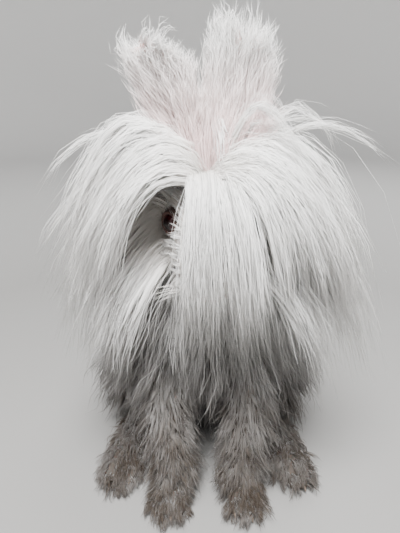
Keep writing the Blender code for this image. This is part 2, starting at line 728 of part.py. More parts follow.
# Locks of a limb: place along it, angle in degrees (0 is the front or the top, 90 the outer side), length, width
FORELEG_LOCKS = (
    (1.0, 75, 0.060, 0.032),
    (1.3, 180, 0.058, 0.032),
    (2.0, -10, 0.046, 0.028),
    (2.0, 100, 0.050, 0.030),
    (2.2, 215, 0.046, 0.030),
    (2.9, 50, 0.030, 0.024),
)
THIGH_LOCKS = (
    (52, 14, 0.070, 0.048),
    (52, 64, 0.072, 0.050),
    (52, 114, 0.072, 0.050),
    (86, 0, 0.052, 0.042),
    (84, 44, 0.056, 0.044),
    (84, 88, 0.058, 0.046),
    (86, 130, 0.056, 0.044),
)


def foreleg_coat(sign, grow=0.0):
    """Locks that hang down an upright foreleg."""
    rng = random.Random(41 + sign)
    locks = []
    for s, degrees, length, width in FORELEG_LOCKS:
        x, y, z, wide, deep = blend(FORELEG, s)
        angle = math.radians(degrees)
        normal = Vector((math.sin(angle) * sign, -math.cos(angle), 0.15)).normalized()
        root = mirrored((x, y, z), sign) + normal * (min(wide, deep) - 0.006)
        start = normal * 0.45 + DOWN * 0.8 + SIDE_AXIS * rng.uniform(-0.08, 0.08)
        locks.append(lock(root, start, length * rng.uniform(0.92, 1.08), width, 0.0050, 0.5,
                          facing=normal, steps=3, grow=grow))
    return locks


def thigh_coat(sign, grow=0.0):
    """Two rows of locks over the outer side of a thigh, falling to the hind foot."""
    rng = random.Random(47 + sign)
    locks = []
    for polar, round_x, length, width in THIGH_LOCKS:
        a, b = math.radians(polar), math.radians(round_x + rng.uniform(-5, 5))
        unit = Vector((math.sin(a) * 0.55 + 0.35, -math.cos(b), math.cos(a))).normalized()
        normal = mirrored(unit, sign)
        root = mirrored(THIGH_CENTRE, sign) + Vector(n * (r - ROOT_DEPTH) for n, r in zip(normal, THIGH_RADII))
        start = normal * 0.7 + DOWN * 0.55 + Vector((0, 0.30, 0))
        locks.append(lock(root, start, length * rng.uniform(0.92, 1.08), width * rng.uniform(0.92, 1.08),
                          0.0065, 0.8, facing=normal, steps=3, grow=grow))
    return locks


def foot_coat(heel, turn, length, half, height, sign, grow=0.0):
    """Short locks over the instep that end above the toes."""
    rng = random.Random(53)
    start_point, forward, side = foot_frame(heel, turn, sign)
    locks = []
    for share, across in ((0.50, -0.42), (0.56, 0.42)):
        root = start_point + forward * length * share + side * half * across + Vector((0, 0, height * 0.62))
        start = forward + Vector((0, 0, 0.50)) + side * across * 0.45 + side * rng.uniform(-0.1, 0.1)
        facing = Vector((0, 0, 1)) + side * across * 0.5
        locks.append(lock(root, start, 0.024 * rng.uniform(0.9, 1.1), 0.016, 0.0040, 0.8,
                          facing=facing, steps=3, grow=grow))
    return locks


def tail_coat(grow=0.0):
    """A fan of locks that stands off the tail."""
    rng = random.Random(61)
    locks = []
    for k in range(4):
        angle = math.radians(-90 + 60 * k)
        normal = Vector((math.sin(angle) * 0.8, 0.55, math.cos(angle) * 0.8)).normalized()
        root = TAIL_CENTRE + normal * 0.012
        start = normal + Vector((0, 0.35, 0.1))
        locks.append(lock(root, start, 0.040 * rng.uniform(0.92, 1.08), 0.032, 0.0060, 0.6,
                          facing=normal, steps=3, grow=grow))
    return locks


def bind(make, *given):
    """The piece maker with all but its growth given."""
    return lambda grow=0.0: make(*given, grow)


def main():
    for obj in list(bpy.data.objects):
        bpy.data.objects.remove(obj)
    sides = (("left", 1), ("right", -1))
    parts = [Part("eye_" + side, "eye", bind(eye_core, sign)) for side, sign in sides]
    feet = []
    for side, sign in sides:
        for kind, *sizes in (
            ("forefoot", FOREFOOT_HEEL, FOREFOOT_TURN, FOREFOOT_LENGTH, FOREFOOT_HALF_WIDTH, FOREFOOT_HEIGHT),
            ("hindfoot", HINDFOOT_HEEL, HINDFOOT_TURN, HINDFOOT_LENGTH, HINDFOOT_HALF_WIDTH, HINDFOOT_HEIGHT),
        ):
            forward = foot_frame(sizes[0], sizes[1], sign)[1]
            for k, place in enumerate(toe_places(*sizes, sign)):
                parts.append(Part(f"{kind}_{side}_claw_{k + 1}", "claw", bind(claw_core, place, forward)))
            feet.append(Part(f"{kind}_{side}", "wool", bind(foot_core, *sizes, sign),
                             bind(foot_coat, *sizes, sign), flat=True))
    parts.append(Part("head", "wool", head_core, head_coat, face_openings))
    for side, sign in sides:
        parts.append(Part("ear_" + side, "ear", bind(ear_core, sign), bind(ear_coat, sign)))
    parts.append(Part("neck", "wool", bind(trunk_core, NECK_SPAN), bind(trunk_locks, NECK_ROWS, 3)))
    parts.append(Part("torso", "wool", bind(trunk_core, CHEST_SPAN), bind(trunk_locks, TORSO_ROWS, 5)))
    parts.append(Part("rump", "wool", rump_core, bind(trunk_locks, RUMP_ROWS, 7), flat=True))
    parts += feet
    for side, sign in sides:
        parts.append(Part("thigh_" + side, "wool", bind(thigh_core, sign), bind(thigh_coat, sign), flat=True))
        parts.append(Part("foreleg_" + side, "wool", bind(foreleg_core, sign), bind(foreleg_coat, sign)))
    parts.append(Part("tail", "wool", tail_core, tail_coat, flat=True))
    coats = ["ear_left", "ear_right", "head", "neck", "torso", "rump", "tail"]
    for kind in ("thigh", "foreleg", "hindfoot", "forefoot"):
        coats += [kind + "_left", kind + "_right"]
    assemble(parts, coats)
    centre_over_origin()


main()
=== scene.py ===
"""Angora rabbit, dressed for the render: one skin, ruby eyes, claws, whiskers and a long coat, lock by lock.

Metres, +Z up, the rabbit faces -Y. A sign of 1 means the animal's left, at +X, and -1 its right. Sizes are
given about the animal's own middle. At the end all pieces move, so that the eyes lie in the frame's eyes.
"""
import math

import bmesh
import bpy
import numpy as np
from mathutils import Matrix, Vector
from mathutils.bvhtree import BVHTree


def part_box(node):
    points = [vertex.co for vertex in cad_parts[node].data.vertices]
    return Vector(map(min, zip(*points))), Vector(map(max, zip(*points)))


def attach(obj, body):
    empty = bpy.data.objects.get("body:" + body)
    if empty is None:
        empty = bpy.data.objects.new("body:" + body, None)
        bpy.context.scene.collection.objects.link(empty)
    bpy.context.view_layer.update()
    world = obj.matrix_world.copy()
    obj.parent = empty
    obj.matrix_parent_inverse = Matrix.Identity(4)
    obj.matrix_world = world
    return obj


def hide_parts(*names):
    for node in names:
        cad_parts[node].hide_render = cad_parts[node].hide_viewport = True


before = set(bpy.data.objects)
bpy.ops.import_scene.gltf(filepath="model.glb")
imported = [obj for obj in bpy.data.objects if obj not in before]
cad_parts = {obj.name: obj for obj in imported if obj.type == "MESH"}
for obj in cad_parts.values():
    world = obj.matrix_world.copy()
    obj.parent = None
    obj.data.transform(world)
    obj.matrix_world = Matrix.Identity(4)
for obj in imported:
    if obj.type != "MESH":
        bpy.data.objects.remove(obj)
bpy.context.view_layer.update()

# Body
HEAD_CENTRE = Vector((0.0, -0.092, 0.243))
HEAD_PITCH = math.radians(42.0)
NOSE_AXIS = Vector((0.0, -math.cos(HEAD_PITCH), -math.sin(HEAD_PITCH)))
BROW_AXIS = Vector((0.0, -math.sin(HEAD_PITCH), math.cos(HEAD_PITCH)))
SIDE_AXIS = Vector((1.0, 0.0, 0.0))
HEAD_TURN = Matrix((SIDE_AXIS, -NOSE_AXIS, BROW_AXIS)).transposed()
UP = Vector((0.0, 0.0, 1.0))
DOWN = -UP
EYE_RADIUS = 0.0085
EYE_SIDE, EYE_ALONG, EYE_UP = 0.0230, 0.002, 0.0075
EAR_LENGTH, EAR_HALF_WIDTH, EAR_SKIN = 0.088, 0.0225, 0.0030
CLAW_LENGTH, CLAW_RADIUS, CLAW_RINGS = 0.0062, 0.0015, 7
FLOOR_CLEAR = 0.0022
LIMB_INSET = 0.001  # the lofts of head and forelegs stay inside their sections by this much

HEAD_SECTIONS = (  # distance along the nose axis, half width, half height, offset towards the brow
    (0.0560, 0.0080, 0.0075, -0.0045),
    (0.0525, 0.0138, 0.0128, -0.0050),
    (0.0430, 0.0188, 0.0190, -0.0055),
    (0.0300, 0.0226, 0.0245, -0.0045),
    (0.0160, 0.0262, 0.0290, -0.0025),
    (0.0015, 0.0297, 0.0320, -0.0008),
    (-0.0140, 0.0310, 0.0330, 0.0000),
    (-0.0290, 0.0285, 0.0300, 0.0000),
    (-0.0400, 0.0205, 0.0215, -0.0010),
    (-0.0450, 0.0100, 0.0100, -0.0020),
)
TRUNK_STATIONS = (  # y, z, half width and half depth, from the nape to the root of the tail
    (-0.072, 0.226, 0.024, 0.026),
    (-0.058, 0.198, 0.030, 0.033),
    (-0.038, 0.165, 0.041, 0.046),
    (-0.006, 0.130, 0.050, 0.055),
    (0.032, 0.103, 0.056, 0.058),
    (0.068, 0.082, 0.058, 0.058),
    (0.100, 0.063, 0.050, 0.049),
    (0.124, 0.048, 0.030, 0.032),
    (0.134, 0.041, 0.012, 0.014),
)
FORELEG = (  # x of the left leg, y, z, half width, half depth
    (0.036, -0.034, 0.128, 0.0175, 0.0210),
    (0.036, -0.055, 0.095, 0.0175, 0.0200),
    (0.033, -0.073, 0.060, 0.0160, 0.0170),
    (0.030, -0.084, 0.032, 0.0145, 0.0150),
    (0.029, -0.087, 0.018, 0.0135, 0.0140),
)
THIGH_CENTRE, THIGH_RADII = Vector((0.062, 0.030, 0.066)), Vector((0.033, 0.061, 0.057))
THIGH_TILT = math.radians(-18.0)
SEAT_CENTRE, SEAT_RADII = Vector((0.0, 0.078, 0.034)), (0.061, 0.051, 0.0365)
TAIL_CENTRE, TAIL_RADII = Vector((0.0, 0.136, 0.052)), (0.017, 0.019, 0.021)
FEET = (  # kind, heel, turn, length, half width, height
    ("forefoot", (0.029, -0.074), math.radians(5.0), 0.044, 0.0140, 0.0190),
    ("hindfoot", (0.064, 0.020), math.radians(9.0), 0.108, 0.0160, 0.0210),
)
SKIN_NODES = ("head", "ear_left", "ear_right", "neck", "torso", "rump", "tail", "thigh_left", "thigh_right",
              "foreleg_left", "foreleg_right", "forefoot_left", "forefoot_right", "hindfoot_left",
              "hindfoot_right")
SIDES = (("left", 1), ("right", -1))


def head_point(side, along, up):
    return HEAD_CENTRE + SIDE_AXIS * side + NOSE_AXIS * along + BROW_AXIS * up


def eye_centre(sign):
    return head_point(sign * EYE_SIDE, EYE_ALONG, EYE_UP)


def eye_distance(point):
    """How far a point is from the middle of the nearer eye."""
    return min((point - eye_centre(sign)).length for _, sign in SIDES)


def gaze_axes(sign):
    """The direction that an eye looks in, the direction across it towards the nose, and the one up it."""
    gaze = (SIDE_AXIS * sign * 0.70 + NOSE_AXIS * 0.50 + BROW_AXIS * 0.42).normalized()
    up = (BROW_AXIS - gaze * BROW_AXIS.dot(gaze)).normalized()
    return gaze, (NOSE_AXIS - gaze * NOSE_AXIS.dot(gaze) - up * NOSE_AXIS.dot(up)).normalized(), up


def frame_shift():
    """From the animal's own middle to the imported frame."""
    low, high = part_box("eye_left")
    return (Vector(low) + Vector(high)) / 2 - eye_centre(1)


SHIFT = frame_shift()


def blend(rows, s):
    """The row at the fractional index s, on a smooth curve through all rows."""
    last = len(rows) - 1
    i = min(int(s), last - 1)
    f = s - i
    around = (rows[min(max(k, 0), last)] for k in (i - 1, i, i + 1, i + 2))
    return [0.5 * (2 * q + (r - p) * f + (2 * p - 5 * q + 4 * r - t) * f * f
                   + (3 * q - p - 3 * r + t) * f ** 3) for p, q, r, t in zip(*around)]


def drawn_out(rows, parts):
    """The rows with more of them between, so that each step has the given number of parts."""
    return [blend(rows, s / parts) for s in range(parts * (len(rows) - 1) + 1)]


def trunk_frame(s):
    y, z, wide, deep = blend(TRUNK_STATIONS, s)
    before, after = blend(TRUNK_STATIONS, max(s - 0.2, 0.0)), blend(TRUNK_STATIONS, min(s + 0.2, 8.0))
    tangent = Vector((0.0, after[0] - before[0], after[1] - before[1])).normalized()
    return Vector((0.0, y, z)), tangent, Vector((0.0, -tangent.z, tangent.y)), wide, deep


def on_trunk(s, angle, out=0.0):
    """A point on the trunk's skin and its normal: angle 0 is the back, 90 degrees the left flank."""
    centre, _, dorsal, wide, deep = trunk_frame(s)
    side, top = math.sin(angle), math.cos(angle)
    point = centre + SIDE_AXIS * side * (wide + out) + dorsal * top * (deep + out)
    return point, (SIDE_AXIS * side / wide + dorsal * top / deep).normalized()


def on_head(along, angle, out=0.0):
    """A point on the head's skin and its normal: angle 0 is the brow, 90 degrees the left cheek."""
    stations = [row[0] for row in HEAD_SECTIONS]
    i = next(k for k in range(len(stations) - 1) if stations[k + 1] <= along)
    s = i + (stations[i] - along) / (stations[i] - stations[i + 1])
    _, wide, high, offset = blend(HEAD_SECTIONS, s)
    side, top = math.sin(angle), math.cos(angle)
    point = head_point(side * (wide + out), along, offset + top * (high + out))
    return point, (SIDE_AXIS * side / wide + BROW_AXIS * top / high).normalized()


def mirrored(point, sign):
    return Vector((point[0] * sign, point[1], point[2]))


EAR_SHAPE = (  # share of the length, of the half width, depth of the cup in metres
    (0.00, 0.40, 0.0075),
    (0.14, 0.55, 0.0080),
    (0.32, 0.85, 0.0080),
    (0.52, 1.00, 0.0070),
    (0.72, 0.92, 0.0055),
    (0.88, 0.66, 0.0035),
    (1.00, 0.24, 0.0015),
)
EAR_BEND, EAR_BEND_REACH = 0.010, 0.9  # how far the leaf bows back, and over how much of half a wave
# Direction of the tip and direction that the cup faces, on each side
EAR_DIRECTIONS = {1: ((0.10, 0.06, 1.0), (0.25, -1.0, 0.1)), -1: ((-0.42, 0.04, 1.0), (-0.75, -0.8, -0.1))}


def ear_frame(sign):
    """Root, direction of the tip, direction that the cup faces, and width direction of an ear."""
    up, facing = (Vector(v) for v in EAR_DIRECTIONS[sign])
    up = up.normalized()
    facing = (facing - up * facing.dot(up)).normalized()
    return head_point(sign * 0.0165, -0.0270, 0.0230), up, facing, up.cross(facing).normalized()


def ear_middle(sign, share):
    """The middle of an ear's width at a share of its length."""
    root, up, facing, _ = ear_frame(sign)
    bow = math.sin(math.pi * min(share, 1.1) * EAR_BEND_REACH)
    return root + up * EAR_LENGTH * share - facing * EAR_BEND * bow


def ear_point(sign, share, across, lift=0.0):
    """A point on the ear's inner face: across runs from -1 to 1 between the edges."""
    _, _, facing, width = ear_frame(sign)
    k = next(i for i in range(len(EAR_SHAPE) - 1) if share <= EAR_SHAPE[i + 1][0])
    (s0, w0, c0), (s1, w1, c1) = EAR_SHAPE[k], EAR_SHAPE[k + 1]
    f = (share - s0) / (s1 - s0)
    half, cup = EAR_HALF_WIDTH * (w0 + (w1 - w0) * f), c0 + (c1 - c0) * f
    return ear_middle(sign, share) + width * half * across - facing * (cup * (1 - across * across) - lift)


def foot_frame(heel, turn, sign):
    forward = Vector((math.sin(turn) * sign, -math.cos(turn), 0.0))
    return Vector((heel[0] * sign, heel[1], 0.0)), forward, Vector((-forward.y, forward.x, 0.0))


def toe_places(sizes, sign):
    """Centre and radius of each of the four toes."""
    heel, turn, length, half, _ = sizes
    start, forward, side = foot_frame(heel, turn, sign)
    places = []
    for across, reach in ((-0.72, 0.90), (-0.24, 0.98), (0.24, 0.99), (0.72, 0.92)):
        radius = half * 0.34
        places.append((start + forward * length * reach + side * half * across + UP * radius, radius))
    return places


# Mesh helpers
def added(name, data):
    """A new object in the scene."""
    obj = bpy.data.objects.new(name, data)
    bpy.context.scene.collection.objects.link(obj)
    return obj


def add_loft(bm, rings, tip=None):
    """A closed body through rings of points, which ends flat or in a tip."""
    rows = [[bm.verts.new(p) for p in ring] for ring in rings]
    for low, high in zip(rows, rows[1:]):
        for k in range(len(low)):
            bm.faces.new((low[k - 1], low[k], high[k], high[k - 1]))
    bm.faces.new(rows[0])
    if tip is None:
        bm.faces.new(rows[-1][::-1])
    else:
        point = bm.verts.new(tip)
        for k in range(len(rows[-1])):
            bm.faces.new((rows[-1][k - 1], rows[-1][k], point))


def oval(centre, across, up, wide, high, count):
    turns = (2 * math.pi * k / count for k in range(count))
    return [centre + across * math.sin(a) * wide + up * math.cos(a) * high for a in turns]


def add_ball(bm, centre, radii, turn=None, segments=28, rings=18):
    spin = turn.to_4x4() if turn else Matrix.Identity(4)
    place = Matrix.Translation(centre) @ spin @ Matrix.Diagonal((*radii, 1.0))
    bmesh.ops.create_uvsphere(bm, u_segments=segments, v_segments=rings, radius=1.0, matrix=place)


def mesh_from(bm, name):
    bmesh.ops.recalc_face_normals(bm, faces=bm.faces)
    mesh = bpy.data.meshes.new(name)
    bm.to_mesh(mesh)
    bm.free()
    return mesh


def modified(mesh, kind, weights=None, **settings):
    """The mesh after one modifier; weights say how much of it each point gets."""
    obj = added("working", mesh)
    modifier = obj.modifiers.new(kind, kind)
    for key, value in settings.items():
        setattr(modifier, key, value)
    if weights is not None:
        group = obj.vertex_groups.new(name="share")
        for weight in np.unique(weights):
            group.add(np.nonzero(weights == weight)[0].tolist(), float(weight), "REPLACE")
        modifier.vertex_group = group.name
    made = bpy.data.meshes.new_from_object(obj.evaluated_get(bpy.context.evaluated_depsgraph_get()))
    bpy.data.objects.remove(obj)
    return made


def vectors_of(items, key, count):
    flat = np.empty(count * 3, np.float32)
    items.foreach_get(key, flat)
    return flat.reshape(-1, 3).astype(np.float64)


def points_of(mesh):
    return vectors_of(mesh.vertices, "co", len(mesh.vertices))


def add_values(mesh, name, values):
    mesh.attributes.new(name, "FLOAT", "POINT").data.foreach_set("value", values.astype(np.float32))


def smoothed(mesh):
    mesh.polygons.foreach_set("use_smooth", np.ones(len(mesh.polygons), bool))
    mesh.update()
    return mesh


def ramp(value, low, high):
    """0 below low, 1 above high, smooth between."""
    t = np.clip((value - low) / (high - low), 0.0, 1.0)
    return t * t * (3 - 2 * t)


def distance_to_line(points, line):
    """The distance of each point from a line of points."""
    nearest = np.full(len(points), 1e9)
    line = np.array([tuple(p) for p in line])
    for a, b in zip(line, line[1:]):
        way = b - a
        share = np.clip(((points - a) @ way) / (way @ way), 0, 1)
        nearest = np.minimum(nearest, np.linalg.norm(points - (a + share[:, None] * way), axis=1))
    return nearest


# Skin
SKIN_VOXEL = 0.0021
SMOOTH_PASSES, EAR_SMOOTHING = 5, 0.25  # the thin ears are smoothed less than the rest
LID = 0.0014  # thickness of the lids
LID_OPENING = (0.0072, 0.0070)  # half width and half height of the opening between them
BEHIND = 9.0  # the ring value of points behind an eye
FACE_BALLS = (  # side, along and up of a fullness of the face on the left, and its radii
    ((0.0095, 0.0425, -0.0060), (0.0104, 0.0120, 0.0106)),
    ((0.0170, 0.0060, -0.0120), (0.0122, 0.0195, 0.0172)),
)
NOSE_BALL = ((0, 0.0540, -0.0010), (0.0058, 0.0042, 0.0044))
FOOT_SECTIONS = (  # share of the foot's length, of its half width and of its height
    (0.0, 0.50, 0.60),
    (0.12, 0.78, 0.92),
    (0.62, 0.94, 0.94),
    (0.86, 1.0, 0.74),
    (0.95, 0.8, 0.5),
)
SHARES_ACROSS = [k / 6 - 1 for k in range(13)]
MOUTH = [on_head(0.0505 - 0.016 * a * a, math.pi + a * math.radians(72))[0] for a in SHARES_ACROSS]
LIP_SPLIT = [head_point(0, 0.0590, -0.0035), head_point(0, 0.0565, -0.0095), MOUTH[len(MOUTH) // 2]]
NOSTRIL = ((0.0018, 0.0588, -0.0032), (0.0046, 0.0575, -0.0008), (0.0060, 0.0550, 0.0010))


def skin_body():
    """The rough body: lofts and balls that the skin is drawn over."""
    bm = bmesh.new()
    rows = drawn_out(HEAD_SECTIONS, 3)
    add_loft(bm, [oval(head_point(0, along, offset), SIDE_AXIS, BROW_AXIS, wide - LIMB_INSET,
                       high - LIMB_INSET, 32) for along, wide, high, offset in rows])
    for _, sign in SIDES:
        lid = EYE_RADIUS + LID
        add_ball(bm, eye_centre(sign), (lid, lid * 1.12, lid), HEAD_TURN)
        for (side, along, up), radii in FACE_BALLS:
            add_ball(bm, head_point(sign * side, along, up), radii, HEAD_TURN)
        add_ear(bm, sign)
        ahead = Vector((0, -0.95, -0.3))
        add_loft(bm, [oval(mirrored(place, sign), SIDE_AXIS, ahead, wide - LIMB_INSET, deep - LIMB_INSET, 20)
                      for *place, wide, deep in drawn_out(FORELEG, 3)])
        add_ball(bm, mirrored(THIGH_CENTRE, sign), THIGH_RADII, Matrix.Rotation(THIGH_TILT, 3, "X"))
        for _, *sizes in FEET:
            add_foot(bm, sizes, sign)
    add_ball(bm, head_point(*NOSE_BALL[0]), NOSE_BALL[1], HEAD_TURN)
    rings = []
    for k in range(33):
        centre, _, dorsal, wide, deep = trunk_frame(k / 4)
        rings.append(oval(centre, SIDE_AXIS, dorsal, wide, deep, 36))
    add_loft(bm, rings)
    add_ball(bm, SEAT_CENTRE, SEAT_RADII)
    add_ball(bm, TAIL_CENTRE, TAIL_RADII)
    return mesh_from(bm, "skin")


def add_ear(bm, sign):
    facing = ear_frame(sign)[2]
    rings = []
    for k in range(19):
        inner = [ear_point(sign, k / 18, a) for a in SHARES_ACROSS]
        outer = [p - facing * (EAR_SKIN * (1 - 0.35 * a * a)) for p, a in zip(inner, SHARES_ACROSS)]
        rings.append(inner + outer[::-1])
    add_loft(bm, rings)


def add_foot(bm, sizes, sign):
    heel, turn, length, half, height = sizes
    start, forward, side = foot_frame(heel, turn, sign)
    add_loft(bm, [oval(start + forward * length * share + UP * height * high * 0.46, side, UP, half * wide,
                       height * high * 0.54, 20) for share, wide, high in FOOT_SECTIONS])
    for place, radius in toe_places(sizes, sign):
        add_ball(bm, place + UP * 0.0004, (radius, radius * 1.5, radius * 1.05), None, 14, 10)


def near_face(point):
    """Whether a point of the skin is near an eye or the mouth."""
    return eye_distance(point) < 0.017 or (point - head_point(0, 0.05, -0.004)).length < 0.021


def refined(mesh):
    """Splits the faces round the eyes and the mouth, where the skin has its finest forms."""
    bm = bmesh.new()
    bm.from_mesh(mesh)
    for _ in range(2):
        edges = [e for e in bm.edges if near_face(e.verts[0].co) and near_face(e.verts[1].co)]
        bmesh.ops.subdivide_edges(bm, edges=edges, cuts=1, use_grid_fill=True)
    bmesh.ops.triangulate(bm, faces=[f for f in bm.faces if len(f.verts) > 4])
    made = bpy.data.meshes.new("skin")
    bm.to_mesh(made)
    bm.free()
    return made


def head_axes(points):
    """Side, along and up coordinates of points, as arrays."""
    rel = points - np.array(HEAD_CENTRE)
    return rel @ np.array(SIDE_AXIS), rel @ np.array(NOSE_AXIS), rel @ np.array(BROW_AXIS)


def lid_ring(points, sign):
    """Points as seen from an eye's middle, their distance, and their ring: 1 at the edge of its opening."""
    rel = points - np.array(eye_centre(sign))
    ahead, across, up = (rel @ np.array(axis) for axis in gaze_axes(sign))
    ring = np.sqrt((across / LID_OPENING[0]) ** 2 + (up / LID_OPENING[1]) ** 2)
    return rel, np.linalg.norm(rel, axis=1), np.where(ahead > 0, ring, BEHIND)


def bell(distance, middle, width):
    """1 where the distance is the middle one, falling to 0 over the width on both sides."""
    return np.exp(-((distance - middle) / width) ** 2)


def shape_face(points, normals):
    """Lids that open on the eye, mouth line, split lip, nostrils and the folds round them."""
    mouth = distance_to_line(points, MOUTH)
    push = 0.0011 * bell(mouth, 0.0026, 0.0016) - 0.0016 * bell(mouth, 0, 0.0010)
    push -= 0.0013 * bell(distance_to_line(points, LIP_SPLIT), 0, 0.0009)
    for _, sign in SIDES:
        far = distance_to_line(points, [head_point(sign * side, along, up) for side, along, up in NOSTRIL])
        push += 0.0006 * bell(far, 0.0021, 0.0011) - 0.0021 * bell(far, 0, 0.0011)
    moved = points + normals * push[:, None]
    for _, sign in SIDES:
        centre = np.array(eye_centre(sign))
        rel, away, ring = lid_ring(points, sign)
        outer = (ring < BEHIND) & (away < 0.0165)
        target = EYE_RADIUS + LID * 1.1 - 0.0036 * (1 - ramp(ring, 0.92, 1.08))
        rim = 0.0003 * bell(ring, 1.18, 0.10) - 0.0005 * bell(ring, 1.50, 0.14)
        weight = (1 - ramp(ring, 1.15, 1.9)) * outer
        goal = centre + rel / np.maximum(away, 1e-6)[:, None] * target[:, None]
        moved += (goal - moved) * weight[:, None] + normals * (rim * outer)[:, None]
    return moved


def bareness(points):
    """Where skin shows through: 1 on lids, nose, lips and in the ears' cups, 0 under the coat."""
    bare = np.zeros(len(points))
    for _, sign in SIDES:
        _, away, ring = lid_ring(points, sign)
        bare = np.maximum(bare, (1 - ramp(ring, 1.08, 1.28)) * (away < 0.0125))
        root, up, _, width = (np.array(v) for v in ear_frame(sign))
        rel = points - root
        high, across = rel @ up, np.abs(rel @ width)
        bare = np.maximum(bare, 0.9 * ramp(high, 0.000, 0.014) * (1 - ramp(across, 0.020, 0.032)))
    nose = np.linalg.norm(points - np.array(head_point(0, 0.0575, -0.0020)), axis=1)
    bare = np.maximum(bare, 1 - ramp(nose, 0.0062, 0.0095))
    crown = np.linalg.norm(points - np.array(head_point(0, -0.024, 0.031)), axis=1)
    bare = np.maximum(bare, 0.8 * (1 - ramp(crown, 0.012, 0.022)))
    return np.maximum(bare, 1 - ramp(distance_to_line(points, MOUTH), 0.0012, 0.0030))


def make_skin():
    """The whole skin: drawn over the rough body, smoothed, shaped at eyes and mouth, flat on the floor."""
    mesh = modified(skin_body(), "REMESH", mode="VOXEL", voxel_size=SKIN_VOXEL)
    points = points_of(mesh)
    ear = np.zeros(len(points), bool)
    for _, sign in SIDES:
        root, up, _, _ = (np.array(v) for v in ear_frame(sign))
        ear |= ((points - root) @ up > 0.012) & (points[:, 2] > 0.29)
    softness = np.where(ear, EAR_SMOOTHING, 1.0)
    mesh = refined(modified(mesh, "SMOOTH", softness, factor=0.5, iterations=SMOOTH_PASSES))
    points = shape_face(points_of(mesh), vectors_of(mesh.vertex_normals, "vector", len(mesh.vertices)))
    points[:, 2] = np.maximum(points[:, 2], 0.0)
    mesh.vertices.foreach_set("co", points.astype(np.float32).ravel())
    mesh.update()
    add_values(mesh, "bare", bareness(points))
    return smoothed(mesh)


# Coat
ALONG_STEPS = 18  # paces in which a lock's middle line is followed
PATCH = 0.003  # size of a hair's patch on the bake map
SIDE_REACH, FRONT_REACH, SQUEEZE = 0.136, 0.180, 0.3  # hair that would stand out further is drawn in
ROOT_DEPTH = -0.0015  # where locks start, outwards from the head's surface, so a little under it
LOCK_CLEAR = 0.006  # long locks stand off the skin by this much
CLEAR_PACE = 3.0  # and reach that after a third of their way
FALL = 1.6  # how strongly droop pulls a growing lock down
FLOOR_LIFT = 0.004  # a lock's middle line keeps this much higher over the floor at its root
STRAY_SPREAD, STRAY_GATHER, STRAY_FRIZZ, STRAY_WIDTH = 1.6, 1.7, 2.6, 0.62  # stray hairs against the others
COAT_SEED, WHISKER_SEED = 19, 5


class Lie:
    """How the locks of one bed look: how many hairs, how they spread, gather, wave and taper."""

    def __init__(self, hairs=16, spread=0.0060, gather=0.55, flat=0.6, width=0.00056, shortest=0.7,
                 wave=0.0016, turns=1.1, frizz=0.0014, points=7, stray=0.05, core=0.8, sides=8, rings=9,
                 core_end=0.85):
        self.hairs, self.spread, self.gather, self.flat = hairs, spread, gather, flat
        self.width, self.shortest, self.wave, self.turns = width, shortest, wave, turns
        self.frizz, self.points, self.stray, self.core = frizz, points, stray, core
        self.sides, self.rings, self.core_end = sides, rings, core_end


class Bed:
    """Many locks. A grown one leaves along its start and droops; a drawn one bends by two points."""

    def __init__(self):
        self.grown, self.drawn = [], []

    def grow(self, root, start, length, droop, clear, place):
        self.grown.append((*root, *start.normalized(), length, droop, clear, *place))

    def draw(self, root, lead, turn, tip, clear, place):
        self.drawn.append((*root, *lead, *turn, *tip, clear, *place))


def unit(v):
    return v / np.maximum(np.linalg.norm(v, axis=-1, keepdims=True), 1e-9)


def push_off(points, clear, share, body):
    """Moves points out along the skin's normal until they stand off it by their clearance."""
    wanted = np.where(clear < 0, clear, clear * min(1.0, share * CLEAR_PACE))
    for i in np.nonzero(wanted >= 0)[0]:
        near, normal, _, _ = body.find_nearest(points[i].tolist())
        off = (Vector(points[i]) - near).dot(normal)
        if off < wanted[i]:
            points[i] += np.array(normal) * (wanted[i] - off)


def grown_lines(rows, body):
    """Middle lines of locks that leave along their start and droop, and their places on the map."""
    table = np.array(rows)
    point, start = table[:, :3].copy(), table[:, 3:6]
    length, droop, clear = table[:, 6:9].T
    lines = [point.copy()]
    pace = (length / ALONG_STEPS)[:, None]
    for k in range(ALONG_STEPS):
        share = (k + 0.5) / ALONG_STEPS
        fall = np.zeros_like(point)
        fall[:, 2] = -droop * share * FALL
        point = point + unit(start + fall) * pace
        push_off(point, clear, share, body)
        point[:, 2] = np.maximum(point[:, 2], FLOOR_CLEAR + FLOOR_LIFT * (1 - share))
        lines.append(point.copy())
    return np.stack(lines, axis=1), table[:, 9:11]


def drawn_lines(rows, body):
    """Middle lines of locks that bend by their two points, and their places on the map."""
    table = np.array(rows)
    ends = [table[:, 3 * k:3 * k + 3] for k in range(4)]
    clear = table[:, 12]
    lines = []
    for k in range(ALONG_STEPS + 1):
        t = k / ALONG_STEPS
        shares = ((1 - t) ** 3, 3 * (1 - t) ** 2 * t, 3 * (1 - t) * t * t, t ** 3)
        point = sum(s * e for s, e in zip(shares, ends))
        if k > 1:
            push_off(point, clear, t, body)
        lines.append(point)
    return np.stack(lines, axis=1), table[:, 13:15]


def lock_lines(bed, body):
    """The middle line of every lock of a bed, and its place on the map."""
    parts = []
    if bed.grown:
        parts.append(grown_lines(bed.grown, body))
    if bed.drawn:
        parts.append(drawn_lines(bed.drawn, body))
    return np.concatenate([p[0] for p in parts]), np.concatenate([p[1] for p in parts])


def carried_frames(lines):
    """Two directions across each line that turn with it as little as they can."""
    along = unit(np.gradient(lines, axis=1))
    first = unit(np.cross(along[:, 0], np.array([0.31, 0.17, 0.93])))
    turned = [first]
    for k in range(1, lines.shape[1]):
        last = turned[-1]
        turned.append(unit(last - along[:, k] * np.sum(last * along[:, k], axis=1, keepdims=True)))
    across = np.stack(turned, axis=1)
    return across, np.cross(along, across)


